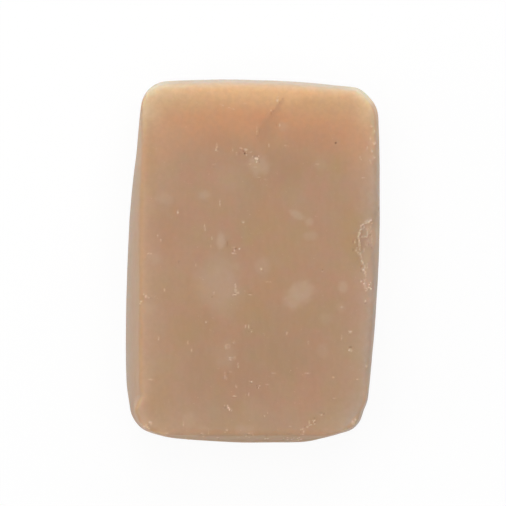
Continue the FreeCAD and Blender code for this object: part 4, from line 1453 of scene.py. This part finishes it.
@dataclass(frozen=True)
class Fold(Step):
    """Lays the fold: its left side laps over, and its right side is a hollow with painted shade."""

    reach: float = 6.0
    depth: float = 1.0
    start: Fade = Fade(0.0, 0.06)
    end: Fade = Fade(1.0, 0.85)
    broken: Rough = Rough(0.9, 2, 51.0)
    gaps: Fade = Fade(-0.3, 0.3)
    # The left side, which laps over
    lap_reach: float = 1.8
    lap_edge: Fade = Fade(0.2, -0.14)
    lap_least: float = 0.3
    lap_height: float = 0.032
    # The crack between the two, with painted shade in it
    crack_place: float = 0.1
    crack_width: float = 0.16
    crack_least: float = 0.2
    crack_shade: float = 0.025
    # The hollow on the right side, wider towards the near end, painted redder and darker as shade
    hollow_narrow: float = 0.56
    hollow_spread: float = 2.4
    hollow_edge: Fade = Fade(-0.12, 0.45)
    hollow_start: Fade = Fade(0.0, 0.12)
    hollow_end: Fade = Fade(1.0, 0.8)
    hollow_depth: float = 0.02
    hollow_red_shade: float = 0.5
    hollow_shade: float = 0.12

    def work(self, skin: Skin) -> None:
        """Raise the lap, sink the hollow, and paint shade into it and the crack between them."""
        gap, along = line_distance(skin.points[:, :2], self.form.line(CREASE))
        high = skin.points[:, 2] > self.form.top - self.depth
        chosen = np.nonzero((np.abs(gap) < self.reach) & high)[0]
        gap, along = gap[chosen], along[chosen]
        ends = self.start.at(along) * self.end.at(along)
        broken = self.gaps.at(self.broken.at(skin.points[chosen]))
        lap = sink(-gap, self.lap_reach) * self.lap_edge.at(gap) * ends
        lap = lap * lift(broken, self.lap_least)
        crack = bell(gap - self.crack_place, self.crack_width) * ends
        crack = crack * lift(broken, self.crack_least)
        wide = self.hollow_narrow + self.hollow_spread * (1.0 - along)
        hollow = bell(np.maximum(0.0, gap), wide) * self.hollow_edge.at(gap)
        hollow = hollow * self.hollow_start.at(along) * self.hollow_end.at(along)
        skin.push(chosen, self.lap_height * lap - self.hollow_depth * hollow)
        skin.lay(Field.DARK, chosen, self.crack_shade * crack)
        skin.lay(Field.FLUSH, chosen, self.hollow_red_shade * hollow)
        skin.lay(Field.SHADE, chosen, self.hollow_shade * hollow)


@dataclass(frozen=True)
class Crumbs(Step):
    """Raises the crumbs and flakes that cling to the front."""

    stroke: Stroke = Stroke(Fade(1.3, 0.6), ragged=0.45, seed=40.0)
    broken: Rough = Rough(0.36, 1, 7.0)
    gaps: Fade = Fade(-0.35, 0.3)
    height: float = 0.14
    share: float = 0.62
    small: float = 2.6
    small_whole: float = 0.85
    large_whole: float = 0.3

    def work(self, skin: Skin) -> None:
        """Raise and paint each crumb, the larger ones more broken up."""
        for number, mark in enumerate(CRUMBS):
            chosen, amount = self.stroke.lay(skin, self.form, mark, number)
            gaps = self.gaps.at(self.broken.at(skin.points[chosen], number))
            small = max(mark.wide, mark.tall) < self.small
            amount = amount * lift(gaps, self.small_whole if small else self.large_whole)
            skin.lay(Field.CRUMB, chosen, amount * min(1.0, self.share * mark.strength))
            skin.push(chosen, self.height * min(1.0, mark.strength) * amount)


@dataclass(frozen=True)
class Pits(Step):
    """Sinks the pin hole, the gouge and the small pits, and paints shade into them."""

    stroke: Stroke = Stroke(Fade(1.15, 0.35), ragged=0.15, seed=80.0)
    depth: float = 0.45
    # How strongly shade is painted into each pit
    painted_shade: float = 0.85

    def work(self, skin: Skin) -> None:
        """Sink each pit and paint shade into it."""
        for number, mark in enumerate(PITS):
            chosen, amount = self.stroke.lay(skin, self.form, mark, number)
            amount = amount * mark.strength
            skin.push(chosen, -self.depth * amount)
            skin.lay(Field.DARK, chosen, self.painted_shade * amount)


@dataclass
class SoapBar:
    """The bar itself: one solid piece of soap with the marks of use on it."""

    form: Form = field(default_factory=Form)
    finish: SoapFinish = SoapFinish()
    steps: tuple[type[Step], ...] = (Wear, Tones, Clouds, Chip, Fold, Crumbs, Pits)

    def build(self) -> bpy.types.Object:
        """Make the bar's skin, work it over and dress it.

        Returns:
            The finished piece, riding on the root in place of the plain solid.
        """
        mesh = Shell(self.form).make()
        skin = Skin(mesh)
        for step in self.steps:
            step(self.form).work(skin)
        skin.write()
        mesh.shade_smooth()
        mesh.materials.append(self.finish.make())
        piece = bpy.data.objects.new(PIECE, mesh)
        bpy.context.scene.collection.objects.link(piece)
        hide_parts(NODE)
        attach(piece, ROOT)
        LOG.info("%s: %d faces", piece.name, len(mesh.polygons))
        return piece


@dataclass(frozen=True)
class Softbox:
    """One soft rectangular light, in metres and watts, that faces the bar."""

    name: str
    place: Spot
    size: Place
    power: float

    def hang(self) -> None:
        """Hang the light."""
        lamp = bpy.data.lights.new(self.name, "AREA")
        lamp.shape = "RECTANGLE"
        lamp.size, lamp.size_y = self.size
        lamp.energy = self.power
        holder = bpy.data.objects.new(self.name, lamp)
        holder.location = self.place
        holder.rotation_euler = (-Vector(self.place)).to_track_quat("-Z", "Y").to_euler()
        bpy.context.scene.collection.objects.link(holder)


@dataclass
class Studio:
    """The plain pale setting: a floor, soft light from all round and a camera straight above."""

    portrait: Portrait = Portrait()
    # The camera: widest_share is the height, as a share, of the widest outline
    lens: float = 1200.0
    sensor: float = 36.0
    clip_end: float = 10.0
    widest_share: float = 0.4
    # The floor and the sky
    floor_size: float = 12.0
    floor_cells: int = 8
    floor_white: float = 0.90
    floor_glow: float = 0.92
    floor_gap: float = 0.00005
    world_level: float = 0.30
    softboxes: tuple[Softbox, ...] = (
        Softbox("overhead", (0.0, 0.10, 0.90), (0.9, 0.9), 5.05),
        Softbox("far_light", (0.05, 0.62, 0.22), (0.7, 0.35), 2.9),
        Softbox("left_light", (-0.60, -0.05, 0.35), (0.4, 0.6), 1.0),
        Softbox("near_light", (0.05, -0.60, 0.30), (0.7, 0.35), 0.5),
    )

    def build(self) -> None:
        """Build the whole setting."""
        self._floor()
        self._world()
        self._camera()
        bpy.context.scene.view_settings.view_transform = "Standard"
        for softbox in self.softboxes:
            softbox.hang()
        LOG.info("studio: %d lights", len(self.softboxes))

    def _floor(self) -> None:
        """Lay the floor, just under the bar, white to the camera but with a soft shadow."""
        grid = bmesh.new()
        cells = self.floor_cells
        bmesh.ops.create_grid(grid, x_segments=cells, y_segments=cells, size=self.floor_size / 2)
        mesh = bpy.data.meshes.new("floor")
        grid.to_mesh(mesh)
        grid.free()
        mesh.transform(Matrix.Translation((0.0, 0.0, -self.floor_gap)))
        material = bpy.data.materials.new("floor_white")
        recipe = Recipe(material)
        white = opaque((self.floor_white,) * 3)
        matt = recipe.add("ShaderNodeBsdfDiffuse", {}, {"Color": white})
        glow = recipe.add("ShaderNodeEmission", {}, {"Color": WHITE, "Strength": 1.0})
        seen = self._seen(recipe) * self.floor_glow
        surface = recipe.add("ShaderNodeMixShader", {}, {0: seen, 1: matt, 2: glow})
        recipe.add("ShaderNodeOutputMaterial", {}, {"Surface": surface})
        mesh.materials.append(material)
        floor = bpy.data.objects.new("floor", mesh)
        bpy.context.scene.collection.objects.link(floor)

    def _seen(self, recipe: Recipe) -> Wire:
        """1 for what the camera sees, straight or in a reflection, and 0 for other light."""
        camera = recipe.add("ShaderNodeLightPath", {}, {}, "Is Camera Ray")
        glossy = recipe.add("ShaderNodeLightPath", {}, {}, "Is Glossy Ray")
        clear = recipe.add("ShaderNodeLightPath", {}, {}, "Is Transmission Ray")
        return (camera + glossy + clear).bounded()

    def _world(self) -> None:
        """Surround the scene with even light, and a white sky for the camera."""
        world = bpy.data.worlds.new("studio")
        bpy.context.scene.world = world
        recipe = Recipe(world)
        level = {"Color": WHITE, "Strength": self.world_level}
        light = recipe.add("ShaderNodeBackground", {}, level)
        sky = recipe.add("ShaderNodeBackground", {}, {"Color": WHITE, "Strength": 1.0})
        surface = recipe.add("ShaderNodeMixShader", {}, {0: self._seen(recipe), 1: light, 2: sky})
        recipe.add("ShaderNodeOutputWorld", {}, {"Surface": surface})

    def _camera(self) -> None:
        """Hang the camera straight above, so that the bar lies where the portrait has it."""
        middle = self.portrait.pixels / 2
        across, along = self.portrait.place(middle, middle)
        width = self.portrait.pixels * self.portrait.pixel * MM
        widest_height = self.widest_share * (cad_box[1][2] - cad_box[0][2])
        camera = bpy.data.cameras.new("portrait")
        camera.lens = self.lens
        camera.sensor_width = self.sensor
        camera.clip_end = self.clip_end
        holder = bpy.data.objects.new("portrait", camera)
        height = widest_height + width * self.lens / self.sensor
        holder.location = (across * MM, along * MM, height)
        bpy.context.scene.collection.objects.link(holder)
        bpy.context.scene.camera = holder


def main() -> None:
    """Build the studio and the bar."""
    logging.basicConfig(level=logging.INFO, format="%(message)s")
    Studio().build()
    SoapBar().build()


if __name__ == "__main__":
    main()
